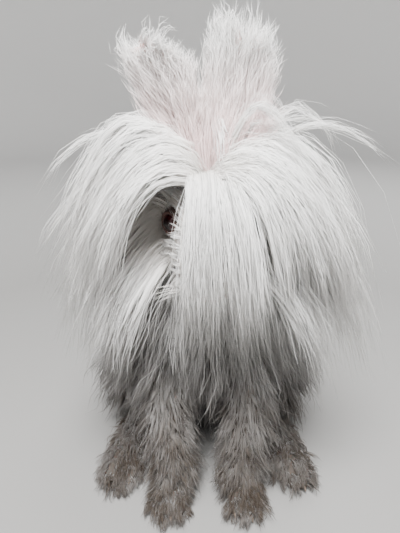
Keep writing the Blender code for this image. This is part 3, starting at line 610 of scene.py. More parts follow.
def drawn_in(values, reach):
    """Values whose size stays near the reach: what lies beyond it is squeezed."""
    size = np.abs(values)
    return np.sign(values) * np.where(size > reach, reach + (size - reach) * SQUEEZE, size)


def held(points):
    """Points kept within the reach of the coat and above the floor."""
    points[..., 0] = drawn_in(points[..., 0], SIDE_REACH)
    points[..., 1] = drawn_in(points[..., 1], FRONT_REACH)
    points[..., 2] = np.maximum(points[..., 2], FLOOR_CLEAR)
    return points


def locks_of(bed, lie, body, rng):
    """The hairs of each lock and, under them, its core, as mesh arrays."""
    lines, place = lock_lines(bed, body)
    across, outward = carried_frames(lines)
    count = len(lines)
    phase = rng.uniform(0, 2 * math.pi, count)
    tone = rng.normal(0, 0.3, count)
    made = [hairs_of(lie, lines, across, outward, place, phase, tone, rng)]
    if lie.core:
        made.append(cores_of(lie, lines, across, outward, place, phase, tone, rng))
    return made


def swing_of(lie, share, phase):
    """How far a lock's middle swings to its two sides on the way."""
    swell = lie.wave * share ** 1.3
    turn = share * 2 * math.pi * lie.turns
    return swell * np.sin(phase + turn), swell * np.cos(phase * 1.7 + turn * 0.8)


def hairs_of(lie, lines, across, outward, place, phase, tone, rng):
    """Solid tapered hairs round the middle line of every lock."""
    count = len(lines)
    which = np.repeat(np.arange(count), lie.hairs)
    total = len(which)
    reach = rng.uniform(lie.shortest, 1.0, total)
    radius = np.sqrt(rng.uniform(0, 1, total))
    angle = rng.uniform(0, 2 * math.pi, total)
    stray = rng.uniform(0, 1, total) < lie.stray
    spread = lie.spread * np.where(stray, STRAY_SPREAD, 1.0)
    side, out = radius * np.cos(angle) * spread, radius * np.sin(angle) * spread * lie.flat
    share = np.linspace(0, 1, lie.points)[None, :] * reach[:, None]
    index = share * ALONG_STEPS
    low = np.minimum(index.astype(int), ALONG_STEPS - 1)
    part = (index - low)[..., None]

    def along(table):
        rows = table[which]
        picked = np.take_along_axis(rows, low[..., None], axis=1)
        following = np.take_along_axis(rows, low[..., None] + 1, axis=1)
        return picked * (1 - part) + following * part

    middle, u, v = along(lines), along(across), along(outward)
    gather = np.where(stray, STRAY_GATHER, lie.gather)[:, None]
    shrink = 1 + (gather - 1) * share ** 0.8
    swing, sway = swing_of(lie, share, (phase[which] + rng.normal(0, 0.5, total))[:, None])
    loose = lie.frizz * np.where(stray, STRAY_FRIZZ, 1.0)[:, None] * share
    wander = rng.normal(0, 1, (total, 4))
    drift = loose * (wander[:, :1] * share + wander[:, 1:2] * np.sin(share * 7 + wander[:, 2:3] * 3))
    drag = loose * (wander[:, 3:] * share + wander[:, 2:3] * np.cos(share * 6 + wander[:, 1:2] * 3))
    points = middle + u * (side[:, None] * shrink + swing + drift)[..., None]
    points = points + v * (out[:, None] * shrink + sway + drag)[..., None]
    width = lie.width * rng.uniform(0.75, 1.2, total) * np.where(stray, STRAY_WIDTH, 1.0)
    own = tone[which] + rng.normal(0, 0.22, total)
    return hair_arrays(held(points), width, place[which] + np.stack([side, out], axis=1) * 0.6, own)


THICKNESS = (0.75, 1.0, 1.0, 0.92, 0.80, 0.62, 0.40)  # of a hair, from its root on


def hair_arrays(points, width, place, tone):
    """Three-sided hairs, closed at the root and ending in a point."""
    count = points.shape[1]
    along = unit(np.gradient(points, axis=1))
    seed = unit(np.stack([np.sin(tone * 37), np.cos(tone * 53), np.sin(tone * 71 + 1)], axis=1))[:, None, :]
    first = unit(np.cross(along, seed))
    second = np.cross(along, first)
    shares = np.linspace(0, 1, count)[:-1]
    thick = np.interp(shares, np.linspace(0, 1, len(THICKNESS)), THICKNESS)[None, :] * width[:, None] / 2
    rings = [points[:, :-1] + (first[:, :-1] * math.cos(a) + second[:, :-1] * math.sin(a)) * thick[..., None]
             for a in (0, 2 * math.pi / 3, 4 * math.pi / 3)]
    strand = np.repeat(np.abs(np.sin(tone * 91))[:, None], 3 * (count - 1) + 1, axis=1)
    return tube_arrays(np.stack(rings, axis=2), points[:, -1], shares, place, tone, strand)


# Thickness of a core by the share of its length
CORE_PROFILE = ((0.0, 0.12, 0.5, 0.8, 1.0), (0.45, 0.90, 0.85, 0.50, 0.16))


def cores_of(lie, lines, across, outward, place, phase, tone, rng):
    """One soft grooved strand under the hairs of each lock, which ends before they do."""
    count, sides = len(lines), lie.sides
    shares = np.linspace(0, lie.core_end * 0.94, lie.rings)
    index = shares * ALONG_STEPS
    low = np.minimum(index.astype(int), ALONG_STEPS - 1)
    part = (index - low)[None, :, None]
    middle, u, v = (t[:, low] * (1 - part) + t[:, low + 1] * part for t in (lines, across, outward))
    swing, sway = swing_of(lie, shares[None], phase[:, None])
    middle = middle + u * swing[..., None] + v * sway[..., None]
    profile = np.interp(shares / lie.core_end, *CORE_PROFILE)
    radius = lie.spread * lie.core * profile * (1 + (lie.gather - 1) * shares ** 0.8)
    groove = rng.uniform(0.66, 1.12, (count, 1, sides)) * rng.uniform(0.92, 1.08, (count, lie.rings, sides))
    turns = np.arange(sides) * 2 * math.pi / sides
    grown = radius[None, :, None] * groove
    rings = middle[:, :, None] + u[:, :, None] * (grown * np.cos(turns))[..., None]
    rings = rings + v[:, :, None] * (grown * np.sin(turns) * lie.flat)[..., None]
    last = min(int(round(lie.core_end * ALONG_STEPS)), ALONG_STEPS)
    tip = lines[:, last] + across[:, last] * swing[:, -1:] + outward[:, last] * sway[:, -1:]
    fold = 1 - np.abs(np.linspace(-1, 1, sides, endpoint=False))
    strand = np.concatenate([np.tile(fold, lie.rings), [0.5]])[None] + rng.uniform(0, 9, (count, 1))
    return tube_arrays(held(rings), held(tip), shares, place, tone - 0.1, strand)


def tube_arrays(rings, tips, shares, place, tone, strand):
    """Closed tapered tubes from their rings and tips, with their patch on the map and their values."""
    total, count, sides, _ = rings.shape
    verts = np.concatenate([rings.reshape(total, -1, 3), tips[:, None]], axis=1)
    faces = [(0, k + 1, k) for k in range(1, sides - 1)]
    for k in range(count - 1):
        for j in range(sides):
            a, b = sides * k + j, sides * k + (j + 1) % sides
            faces += [(a, b, b + sides), (a, b + sides, a + sides)]
    last = sides * (count - 1)
    faces += [(last + j, last + (j + 1) % sides, last + sides) for j in range(sides)]
    size = verts.shape[1]
    faces = (np.array(faces)[None] + (np.arange(total) * size)[:, None, None]).reshape(-1, 3)
    strip = np.stack([np.tile(np.linspace(0, 1, sides), count), np.repeat(shares, sides)], axis=1)
    strip = np.concatenate([strip, [[0.5, 1.0]]])
    uv = (place[:, None, :] + (strip[None] - 0.5) * PATCH).reshape(-1, 2)
    tip = np.tile(strip[:, 1], total)
    return verts.reshape(-1, 3), faces, uv, np.repeat(tone, size), tip, strand.ravel()


def coat_mesh(name, parts):
    """One mesh of all tubes, with the map and the values that its finish reads."""
    start = np.cumsum([0] + [len(p[0]) for p in parts])
    verts = np.concatenate([p[0] for p in parts])
    faces = np.concatenate([p[1] + s for p, s in zip(parts, start)]).astype(np.int32)
    uv, tone, tip, strand = (np.concatenate([p[k] for p in parts]) for k in (2, 3, 4, 5))
    mesh = bpy.data.meshes.new(name)
    mesh.vertices.add(len(verts))
    mesh.vertices.foreach_set("co", verts.astype(np.float32).ravel())
    mesh.loops.add(faces.size)
    mesh.loops.foreach_set("vertex_index", faces.ravel())
    mesh.polygons.add(len(faces))
    mesh.polygons.foreach_set("loop_start", np.arange(0, faces.size, 3, dtype=np.int32))
    mesh.update(calc_edges=True)
    layer = mesh.uv_layers.new(name="OFBake")
    layer.data.foreach_set("uv", np.clip(uv[faces.ravel()], 0.001, 0.999).astype(np.float32).ravel())
    add_values(mesh, "tone", tone)
    add_values(mesh, "tip", tip)
    add_values(mesh, "strand", strand)
    return smoothed(mesh)


def jitter_grid(rng, rows, columns):
    """Shares between 0 and 1 over a grid, each moved a little inside its cell."""
    return [((i + rng.uniform(0.05, 0.95)) / rows, (j + rng.uniform(0.05, 0.95)) / columns)
            for i in range(rows) for j in range(columns)]


def head_place(along, angle):
    """Where a root on the head lies on the map."""
    return 0.5 + angle / (2 * math.pi) * 0.96, 0.04 + (along + 0.045) / 0.101 * 0.92


def rooted(along, angle):
    """A lock's root on the head, the way out there, and its place on the map."""
    root, normal = on_head(along, angle, ROOT_DEPTH)
    return root, normal, head_place(along, angle)


def shake(rng, size):
    return Vector(rng.normal(0, size, 3))


def shakes(rng, *sizes):
    """Three random moves, for the two bending points and the tip of a lock."""
    return rng.normal(0, 1, (3, 3)) * sizes


# The long hair at the sides of the head, from the parting to the cheek: along and degrees of the root, then
# the two points that the lock bends by and its tip, for the left side
ARCHES = (
    (-0.0110, 5, 0.040, -0.126, 0.304, 0.066, -0.128, 0.268, 0.077, -0.124, 0.190),
    (-0.0150, 13, 0.022, -0.108, 0.335, 0.082, -0.118, 0.288, 0.096, -0.116, 0.195),
    (-0.0190, 24, 0.034, -0.098, 0.340, 0.088, -0.104, 0.302, 0.106, -0.106, 0.216),
    (-0.0280, 48, 0.044, -0.086, 0.340, 0.084, -0.090, 0.314, 0.108, -0.098, 0.236),
    (-0.0300, 70, 0.068, -0.084, 0.300, 0.101, -0.090, 0.262, 0.116, -0.100, 0.182),
    (-0.0260, 92, 0.066, -0.084, 0.268, 0.101, -0.092, 0.222, 0.112, -0.100, 0.148),
    (-0.0120, 114, 0.056, -0.096, 0.236, 0.086, -0.106, 0.190, 0.094, -0.112, 0.130),
    (0.0080, 132, 0.046, -0.126, 0.216, 0.066, -0.132, 0.168, 0.066, -0.126, 0.122),
)
WIDER_SIDE = {1: (1.0, 1.04, 1.11), -1: (0.95, 0.93, 0.98)}  # how far out bow and tip lie on each side
LOWER_SIDE = {1: 0.013, -1: 0.003}  # how much lower the bows of the crown's hair lie on each side
LONGER_SIDE = {1: 0.048, -1: 0.014}  # how much lower its tips hang
INNER_SHRINK = {1: 0.34, -1: 0.13}  # how much shorter the innermost layer is on each side
INNER_BACK = {1: 0.030, -1: 0.046}  # how far back it lies
CROWN_LOCKS = {1: 262, -1: 224}


def arch_lock(rng, share, sign, along_shake, turn_shake, lower=1.0, longer=1.0):
    """A lock at a share of the arches' rows: its root, its place on the map, and its points."""
    row = np.array(blend(ARCHES, share))
    along = row[0] + rng.normal(0, along_shake)
    angle = math.radians(row[1] + rng.normal(0, turn_shake)) * sign
    root, _, place = rooted(along, angle)
    points = row[2:].reshape(3, 3) * (sign, 1, 1)
    points[:, 0] *= WIDER_SIDE[sign]
    points[:2, 2] -= LOWER_SIDE[sign] * lower
    points[2, 2] -= LONGER_SIDE[sign] * longer
    return root, place, points


def arch_bed(rng, sign, first, last, number):
    """Locks between two rows of the arches, in layers from the foremost backwards."""
    bed = Bed()
    for k in range(number):
        share = first + (last - first) * (k + rng.uniform()) / number
        lower = np.interp(share, (0.3, 1.5, 4.5, 6.0), (0.2, 1.0, 1.0, 0.0))
        longer = np.interp(share, (0.5, 1.5, 4.5, 6.0), (0.3, 1.0, 1.0, 0.0))
        root, place, points = arch_lock(rng, share, sign, 0.0028, 5.0, lower, longer)
        points += shakes(rng, (0.003, 0.005, 0.004), (0.005, 0.008, 0.006), (0.007, 0.010, 0.013))
        inward = rng.uniform() ** 1.3 * np.interp(share, (0.3, 1.6), (0.0, 1.0))
        points = points + (np.array(root) - points) * inward * INNER_SHRINK[sign]
        points[:, 1] += inward * INNER_BACK[sign] * np.array((0.5, 0.9, 1.0))
        bed.draw(root, *points, LOCK_CLEAR, place)
    return bed


def curtain_bed(rng):
    """Locks beside the forelock that close the hollow over the left eye but for a narrow gap."""
    bed = Bed()
    near = np.array(((0.026, -0.139, 0.300), (0.038, -0.148, 0.264), (0.052, -0.144, 0.184)))
    far = np.array(ARCHES[0][2:]).reshape(3, 3)
    number = 40
    for k in range(number):
        share = (k + rng.uniform()) / number
        root, _, place = rooted(-0.010 - 0.003 * share, math.radians(3 + 5 * share))
        points = near + (far - near) * share
        points += shakes(rng, (0.002, 0.003, 0.003), (0.003, 0.004, 0.005), (0.005, 0.007, 0.014))
        bed.draw(root, *points, LOCK_CLEAR, place)
    return bed


def parting_bed(rng):
    """Finer hair that rises from the crown between the ears and parts over their roots."""
    bed = Bed()
    for i, j in jitter_grid(rng, 6, 12):
        across = j * 2 - 1
        root, normal, place = rooted(-0.011 - 0.024 * i, 0.50 * across)
        lead = root + normal * 0.010 + UP * 0.008 + SIDE_AXIS * across * 0.006
        turn = lead + UP * (0.010 + 0.006 * i) + SIDE_AXIS * across * 0.014 - NOSE_AXIS * 0.012
        tip = turn + UP * 0.010 * (1 - abs(across)) + SIDE_AXIS * across * 0.018 - NOSE_AXIS * 0.014
        points = np.array((lead, turn, tip)) + shakes(rng, (0.0015,), (0.003,), (0.006,))
        bed.draw(root, *points, -1, place)
    return bed


def fluff_bed(rng, number):
    """Loose fine hair that stands a little off the outline of the mop."""
    bed = Bed()
    for k in range(number):
        sign = 1 if k % 2 else -1
        share = 1.0 + 5.6 * rng.uniform()
        root, place, points = arch_lock(rng, share, sign, 0.004, 8.0)
        points[:, 0] += sign * rng.uniform(0.000, 0.006) * np.array((0.4, 0.8, 1.0))
        points[:, 2] += rng.uniform(0.000, 0.007) * np.array((0.6, 1.0, 1.0))
        points[:, 1] += rng.uniform(0, 0.050)
        points += shakes(rng, (0.004, 0.006, 0.004), (0.006, 0.009, 0.008), (0.009, 0.012, 0.016))
        points = points + (np.array(root) - points) * rng.uniform(0, 0.25)
        bed.draw(root, *points, LOCK_CLEAR, place)
    return bed


FRINGE_CLUMPS, CLUMP_LOCKS = 12, 7
FRINGE_NARROWER = 0.83  # the half of the forelock on the animal's right, so that the eye there shows


def fringe_bed(rng):
    """The forelock, which parts at the crown and falls over the middle of the face in clumps of locks."""
    bed = Bed()
    for j in range(FRINGE_CLUMPS):
        centre = (2 * j + 1) / FRINGE_CLUMPS - 1 + rng.uniform(-0.03, 0.03)
        shift, drop, fore = rng.normal(0, 0.0035), abs(rng.normal(0, 0.014)), rng.normal(0, 0.0030)
        for k in range(CLUMP_LOCKS):
            back = k / (CLUMP_LOCKS - 1)
            across = (centre + rng.normal(0, 0.030)) * (1 - 0.12 * back)
            wide = across * (FRINGE_NARROWER if across < 0 else 1.0)
            root, _, place = rooted(-0.018 + 0.013 * back, 0.42 * across)
            low = 0.151 + 0.022 * across * across + drop + 0.012 * back + rng.normal(0, 0.007)
            lead = Vector((0.018 * wide + 0.0025, -0.149 + fore * 0.6 + 0.009 * back, 0.301 - 0.014 * back))
            turn = Vector((0.025 * wide + 0.006 + shift * 0.5, -0.160 + fore + 0.014 * back, 0.240))
            aside = 0.036 * wide + 0.006 + shift + rng.normal(0, 0.0030)
            tip = Vector((aside, -0.157 + fore + 0.012 * back, low))
            lead, turn = lead + shake(rng, 0.0014), turn + shake(rng, 0.0020)
            bed.draw(root, lead, turn, tip, LOCK_CLEAR, place)
    return bed


WISPS = (  # along and degrees of the root, two bending points, the tip, and how many locks lie together
    (-0.028, 60, 0.058, -0.090, 0.334, 0.092, -0.096, 0.316, 0.128, -0.100, 0.284, 3),
    (-0.017, 18, 0.020, -0.100, 0.350, 0.044, -0.106, 0.330, 0.066, -0.112, 0.276, 4),
    (-0.026, 52, 0.044, -0.080, 0.348, 0.078, -0.086, 0.322, 0.090, -0.092, 0.286, 3),
    (-0.027, -56, -0.058, -0.084, 0.330, -0.098, -0.092, 0.306, -0.116, -0.098, 0.262, 3),
    (-0.030, -72, -0.074, -0.086, 0.300, -0.104, -0.094, 0.262, -0.126, -0.102, 0.212, 3),
)


def wisp_bed(rng):
    """The long single locks that stand off at both sides of the head."""
    bed = Bed()
    for along, degrees, *rest, number in WISPS:
        for _ in range(number):
            root, _, place = rooted(along, math.radians(degrees + rng.normal(0, 3)))
            points = np.array(rest).reshape(3, 3) + rng.normal(0, 0.0022, (3, 3))
            bed.draw(root, *points, LOCK_CLEAR, place)
    return bed


def temple_bed(rng, sign):
    """Medium hair behind and below the eye, which fills the hollow under the arches."""
    bed = Bed()
    for i, j in jitter_grid(rng, 9, 11):
        along, degrees = -0.020 + 0.044 * i, 62 + 72 * j
        root, normal, place = rooted(along, math.radians(degrees) * sign)
        if (root - eye_centre(sign)).length < 0.0140 or (along > 0.004 and degrees < 100):
            continue
        start = normal * 0.62 - NOSE_AXIS * 0.75 + DOWN * (0.15 + 0.3 * j) + shake(rng, 0.08)
        length = (0.046 - 0.026 * i) * rng.uniform(0.85, 1.1)
        bed.grow(root, start, length, 0.7, 0.004, place)
    return bed


def jowl_bed(rng, sign):
    """Hair of the cheek under the eye, which hangs down and back beside the muzzle."""
    bed = Bed()
    for i, j in jitter_grid(rng, 6, 7):
        root, normal, place = rooted(-0.012 + 0.052 * i, math.radians(88 + 50 * j) * sign)
        if (root - eye_centre(sign)).length < 0.0150:
            continue
        start = normal * 0.45 - NOSE_AXIS * 0.45 + DOWN * 0.80 + shake(rng, 0.09)
        bed.grow(root, start, (0.056 - 0.026 * i) * rng.uniform(0.85, 1.15), 0.8, 0.003, place)
    return bed


def nape_bed(rng):
    """Long hair of the nape, all round the upper half of the back of the head."""
    bed = Bed()
    for i, j in jitter_grid(rng, 6, 13):
        root, normal, place = rooted(-0.043 + 0.014 * i, math.radians(-112 + 224 * j))
        start = normal * 0.62 - NOSE_AXIS * 0.70 + shake(rng, 0.08)
        length, droop = 0.084 * rng.uniform(0.85, 1.08), 1.7 * rng.uniform(0.85, 1.15)
        bed.grow(root, start, length, droop, 0.013 * rng.uniform(0.5, 1.6), place)
    return bed


def throat_bed(rng):
    """Hair under the chin and down the throat."""
    bed = Bed()
    for i, j in jitter_grid(rng, 6, 10):
        root, normal, place = rooted(-0.030 + 0.056 * i, math.radians(128 + 104 * j))
        start = normal * 0.5 + DOWN * 0.8 + shake(rng, 0.08)
        bed.grow(root, start, (0.066 - 0.026 * i) * rng.uniform(0.85, 1.1), 0.7, LOCK_CLEAR, place)
    return bed


# Half width of an ear's wool by the share of the ear's length, away from the head's middle and towards it
EAR_OUTLINE = {
    1: ((-0.10, 0.018, 0.020), (0.15, 0.023, 0.023), (0.45, 0.025, 0.021), (0.75, 0.026, 0.023),
        (0.97, 0.021, 0.027), (1.07, 0.018, 0.026), (1.18, 0.013, 0.022), (1.24, 0.005, 0.016)),
    -1: ((-0.10, 0.018, 0.024), (0.15, 0.022, 0.030), (0.45, 0.024, 0.036), (0.70, 0.017, 0.037),
         (0.86, 0.013, 0.033), (0.98, 0.014, 0.027), (1.04, 0.012, 0.021), (1.20, 0.001, 0.026)),
}
# Share of the length at which the wool ends: on the inner side, in the middle, on the outer side
EAR_TOPS = {1: (1.18, 1.25, 1.10), -1: (0.86, 1.06, 1.13)}


def ear_outline(sign, share, across):
    stations = [row[0] for row in EAR_OUTLINE[sign]]
    column = 1 if across * sign > 0 else 2
    return np.interp(share, stations, [row[column] for row in EAR_OUTLINE[sign]])


def ear_lock(bed, rng, sign, share, across, reach, lift, depth):
    """A lock from the ear's leaf up along it: lift is how far its tip stands off towards the opening."""
    _, _, facing, width = ear_frame(sign)
    root = ear_point(sign, share, across * 0.92, depth)
    lift *= 1.15 - 0.75 * share
    top = np.interp(across * sign, (-1, 0, 1), EAR_TOPS[sign]) + 0.03 - abs(rng.normal(0, 0.10))
    end = max(min(share + reach * rng.uniform(0.8, 1.15), top), share + 0.08)
    tip = ear_middle(sign, end) + width * across * ear_outline(sign, end, across) * rng.uniform(0.92, 1.06)
    tip += facing * (lift * rng.uniform(0.3, 1.2) - 0.003)
    middle = (share + end) / 2
    bulge = ear_middle(sign, middle) + width * across * ear_outline(sign, middle, across)
    lead = root.lerp(bulge, 0.5) + facing * lift * 0.6 + shake(rng, 0.0012)
    turn = bulge.lerp(tip, 0.6) + facing * lift * 0.7 + shake(rng, 0.0026)
    tip += shake(rng, 0.0030) + width * math.copysign(rng.uniform(0, 0.004), across)
    column = 0.27 + 0.22 * across + (0.5 if lift < 0 else 0.0)
    bed.draw(root, lead, turn, tip, -1, (column, 0.04 + 0.9 * share))


def ear_beds(rng, sign):
    """Wool inside the cup, along both rims with the tip, and on the back of an ear."""
    inside, rim, back = Bed(), Bed(), Bed()
    for i, j in jitter_grid(rng, 12, 8):
        ear_lock(inside, rng, sign, 0.06 + 0.86 * i, (j * 2 - 1) * 0.9, 0.52, 0.010, -0.0008)
    for i, j in jitter_grid(rng, 22, 2):
        for across in (0.80 + 0.20 * j, -0.80 - 0.20 * j):
            ear_lock(rim, rng, sign, 0.12 + 0.86 * i, across, 0.36 - 0.06 * i, 0.004, -0.0012)
    for i, j in jitter_grid(rng, 14, 8):
        ear_lock(back, rng, sign, -0.06 + 1.02 * i, (j * 2 - 1) * 0.95, 0.34, -0.010, -0.0020)
    return inside, rim, back


# How the trunk's coat lies: station, length, lift, pull down, droop, clear
BACK_LIE = (
    (0.0, 0.070, 0.62, 0.00, 0.60, 0.018),
    (2.0, 0.094, 0.72, 0.05, 0.90, 0.024),
    (3.0, 0.096, 0.74, 0.05, 1.10, 0.026),
    (4.3, 0.090, 0.74, 0.10, 1.30, 0.026),
    (5.4, 0.080, 0.70, 0.20, 1.50, 0.024),
    (6.4, 0.062, 0.65, 0.35, 1.60, 0.020),
    (8.0, 0.050, 0.60, 0.40, 1.60, 0.016),
)
FLANK_LIE = (
    (0.0, 0.098, 0.85, 0.30, 1.20, 0.020),
    (2.0, 0.098, 0.70, 0.45, 1.10, 0.022),
    (3.0, 0.094, 0.70, 0.50, 1.10, 0.022),
    (4.3, 0.086, 0.70, 0.40, 1.20, 0.022),
    (5.4, 0.072, 0.65, 0.40, 1.30, 0.020),
    (6.4, 0.058, 0.60, 0.45, 1.40, 0.016),
    (8.0, 0.050, 0.55, 0.45, 1.40, 0.014),
)
FRONT_LIE = (
    (0.0, 0.070, 0.50, 0.75, 0.90, 0.014),
    (1.2, 0.072, 0.50, 0.70, 0.90, 0.014),
    (2.0, 0.070, 0.45, 0.80, 0.70, 0.014),
    (2.8, 0.060, 0.40, 0.90, 0.50, 0.012),
    (4.0, 0.046, 0.40, 0.70, 0.60, 0.008),
    (8.0, 0.030, 0.40, 0.50, 0.60, 0.006),
)


def lie_at(table, s):
    stations = [row[0] for row in table]
    return np.array([np.interp(s, stations, [row[k] for row in table]) for k in range(1, 6)])


def trunk_bed(rng, stations, turns, grid):
    """The coat between two stations of the trunk and two degrees round it, as the three tables say."""
    bed = Bed()
    for i, j in jitter_grid(rng, *grid):
        s, degrees = (low + (high - low) * part for (low, high), part in ((stations, i), (turns, j)))
        turn = abs((degrees + 180) % 360 - 180)
        flank = float(ramp(turn, 62, 92))
        front = float(ramp(turn, 118, 145))
        row = lie_at(BACK_LIE, s) * (1 - flank) + lie_at(FLANK_LIE, s) * flank
        length, lift, down, droop, clear = row * (1 - front) + lie_at(FRONT_LIE, s) * front
        angle = math.radians(degrees)
        root, normal = on_trunk(s, angle, -0.002)
        start = trunk_frame(s)[1] * 0.6 + normal * lift + DOWN * down + shake(rng, 0.12)
        length, droop = (length + 0.010) * rng.uniform(0.80, 1.04), droop * rng.uniform(0.85, 1.15)
        column = 0.5 + (degrees - 180 if degrees > 180 else degrees) / 380
        bed.grow(root, start, length, droop, clear * rng.uniform(0.35, 1.5), (column, 0.03 + s * 0.117))
    return bed


def foreleg_bed(rng, sign):
    """The coat of a foreleg, which hangs down it."""
    bed = Bed()
    for i, j in jitter_grid(rng, 12, 13):
        s, degrees = 0.5 + 3.3 * i, 360 * j
        x, y, z, wide, deep = blend(FORELEG, s)
        angle = math.radians(degrees)
        normal = Vector((math.sin(angle) * sign, -math.cos(angle), 0.15)).normalized()
        root = mirrored((x, y, z), sign) + normal * (min(wide, deep) - 0.003)
        start = normal * 0.62 + DOWN * 0.75 + shake(rng, 0.14)
        length = np.interp(s, (0.5, 2.0, 3.0, 3.8), (0.050, 0.038, 0.028, 0.020)) * rng.uniform(0.85, 1.1)
        bed.grow(root, start, length, 0.6, 0.003, (0.5 + (j - 0.5) * 0.9, 0.05 + 0.22 * s))
    return bed


def thigh_bed(rng, skin, sign):
    """The coat of thigh and knee, rooted all over the skin there."""

    def keep(points):
        x, y, z = points[:, 0] * sign, points[:, 1], points[:, 2]
        return (x > 0.030) & (y > -0.050) & (y < 0.115) & (z > 0.020) & (z < 0.145)

    def lay(root, normal):
        start = normal * 0.62 + DOWN * 0.55 + Vector((0, 0.22, 0)) + shake(rng, 0.12)
        length = np.interp(root.z, (0.022, 0.060, 0.130), (0.034, 0.052, 0.066)) * rng.uniform(0.8, 1.1)
        return start, length, 0.9 * rng.uniform(0.8, 1.2), (0.1 + 0.8 * root.y / 0.16 + 0.3, 0.1 + root.z * 5)

    return skin_bed(rng, skin, keep, 185, lay, 0.006)


def under_bed(rng, skin):
    """Short wool all over neck, chest, belly and flanks, so that no skin shows between the long locks."""

    def keep(points):
        trunk = (points[:, 2] < 0.250) & (points[:, 2] > 0.020) & (points[:, 1] > -0.100)
        side, along, up = head_axes(points)
        return trunk & ~((along > -0.044) & (np.hypot(side, up) < 0.036))

    def lay(root, normal):
        start = normal * 0.55 + DOWN * 0.45 + Vector((0, 0.30, 0)) + shake(rng, 0.15)
        reach = np.interp(root.z, (0.020, 0.060), (0.018, 0.032))
        length = min(reach, np.interp(root.y, (-0.075, -0.030), (0.017, 0.032))) * rng.uniform(0.8, 1.2)
        return start, length, 1.0, (0.5 + root.x * 3, 0.5 + root.y * 2.4)

    return skin_bed(rng, skin, keep, 760, lay, 0.004)


def cap_bed(rng):
    """Locks on the back of the head, which fall over the nape."""
    bed = Bed()
    for i, j in jitter_grid(rng, 6, 9):
        radius, turn = 0.004 + 0.024 * i, 2 * math.pi * j
        side, up = radius * math.sin(turn), radius * math.cos(turn)
        root = head_point(side, -0.0435 + 0.22 * radius, up - 0.001)
        start = -NOSE_AXIS * 0.9 + SIDE_AXIS * side * 18 + BROW_AXIS * up * 14 + shake(rng, 0.10)
        bed.grow(root, start, 0.080 * rng.uniform(0.85, 1.1), 1.9, 0.012 * rng.uniform(0.6, 1.5),
                 (0.5 + side * 8, 0.5 + up * 8))
    for i, j in jitter_grid(rng, 3, 6):
        side = 0.020 * (j * 2 - 1)
        if abs(side) < 0.0075:
            continue
        root = head_point(side, -0.041 - 0.004 * i, 0.025 - 0.008 * i)
        start = -NOSE_AXIS * 0.9 + UP * 0.30 + SIDE_AXIS * side * 8 + shake(rng, 0.08)
        bed.grow(root, start, 0.070 * rng.uniform(0.85, 1.1), 1.9, 0.007, (0.5 + side * 8, 0.1 + i * 0.3))
    return bed


def tail_bed(rng):
    """The coat of the tail, all round its end."""
    bed = Bed()
    for i, j in jitter_grid(rng, 7, 12):
        polar, turn = math.radians(12 + 110 * i), 2 * math.pi * j
        normal = Vector((math.sin(polar) * math.sin(turn), math.cos(polar), math.sin(polar) * math.cos(turn)))
        root = TAIL_CENTRE + Vector(n * (r - 0.002) for n, r in zip(normal, TAIL_RADII))
        start = normal + Vector((0, 0.20, 0.10)) + shake(rng, 0.1)
        bed.grow(root, start, 0.032 * rng.uniform(0.85, 1.08), 0.6, -1, (0.05 + 0.9 * j, 0.05 + 0.9 * i))
    return bed


def skin_bed(rng, skin, keep, number, lay, clear=-1):
    """Short locks at random places of the skin that keep lets through; lay says how each of them lies."""
    skin.calc_loop_triangles()
    tri = np.empty(len(skin.loop_triangles) * 3, np.int32)
    skin.loop_triangles.foreach_get("vertices", tri)
    corners = points_of(skin)[tri.reshape(-1, 3)]
    chosen = keep(corners.mean(axis=1))
    corners = corners[chosen]
    cross = np.cross(corners[:, 1] - corners[:, 0], corners[:, 2] - corners[:, 0])
    area = np.linalg.norm(cross, axis=1)
    picked = rng.choice(len(corners), number, p=area / area.sum())
    a, b = rng.uniform(0, 1, (2, number, 1))
    a, b = np.where(a + b > 1, 1 - a, a), np.where(a + b > 1, 1 - b, b)
    base = corners[picked]
    roots = base[:, 0] + (base[:, 1] - base[:, 0]) * a + (base[:, 2] - base[:, 0]) * b
    normals = unit(cross[picked])
    bed = Bed()
    for root, normal in zip(roots, normals):
        start, length, droop, place = lay(Vector(root), Vector(normal))
        bed.grow(Vector(root) - Vector(normal) * 0.0006, start, length, droop, clear, place)
    return bed


def face_bed(rng, skin):
    """Short fur over the face: it lies back from the nose."""
    nose = np.array(head_point(0, 0.0585, -0.0025))

    def keep(points):
        side, along, up = head_axes(points)
        face = (along > -0.018) & (along < 0.062) & (np.abs(side) < 0.036) & (np.abs(up) < 0.040)
        face &= points[:, 2] < 0.292
        for _, sign in SIDES:
            _, away, ring = lid_ring(points, sign)
            face &= (away > 0.0125) | ((ring > 1.22) & (away > 0.0090))
        face &= np.linalg.norm(points - nose, axis=1) > 0.0068
        return face & (distance_to_line(points, MOUTH) > 0.0016)

    def lay(root, normal):
        rel = root - HEAD_CENTRE
        along, side, up = rel.dot(NOSE_AXIS), rel.x, rel.dot(BROW_AXIS)
        start = -NOSE_AXIS * 0.8 + normal * 0.42 + DOWN * 0.30 + SIDE_AXIS * side * 9 + shake(rng, 0.12)
        length = np.interp(along, (-0.018, 0.020, 0.050), (0.017, 0.012, 0.0060)) * rng.uniform(0.7, 1.3)
        length *= np.clip((eye_distance(root) - 0.0085) / 0.010, 0.34, 1.0)
        return start, length, 0.2, head_place(along, math.atan2(side, up))

    return skin_bed(rng, skin, keep, 700, lay)


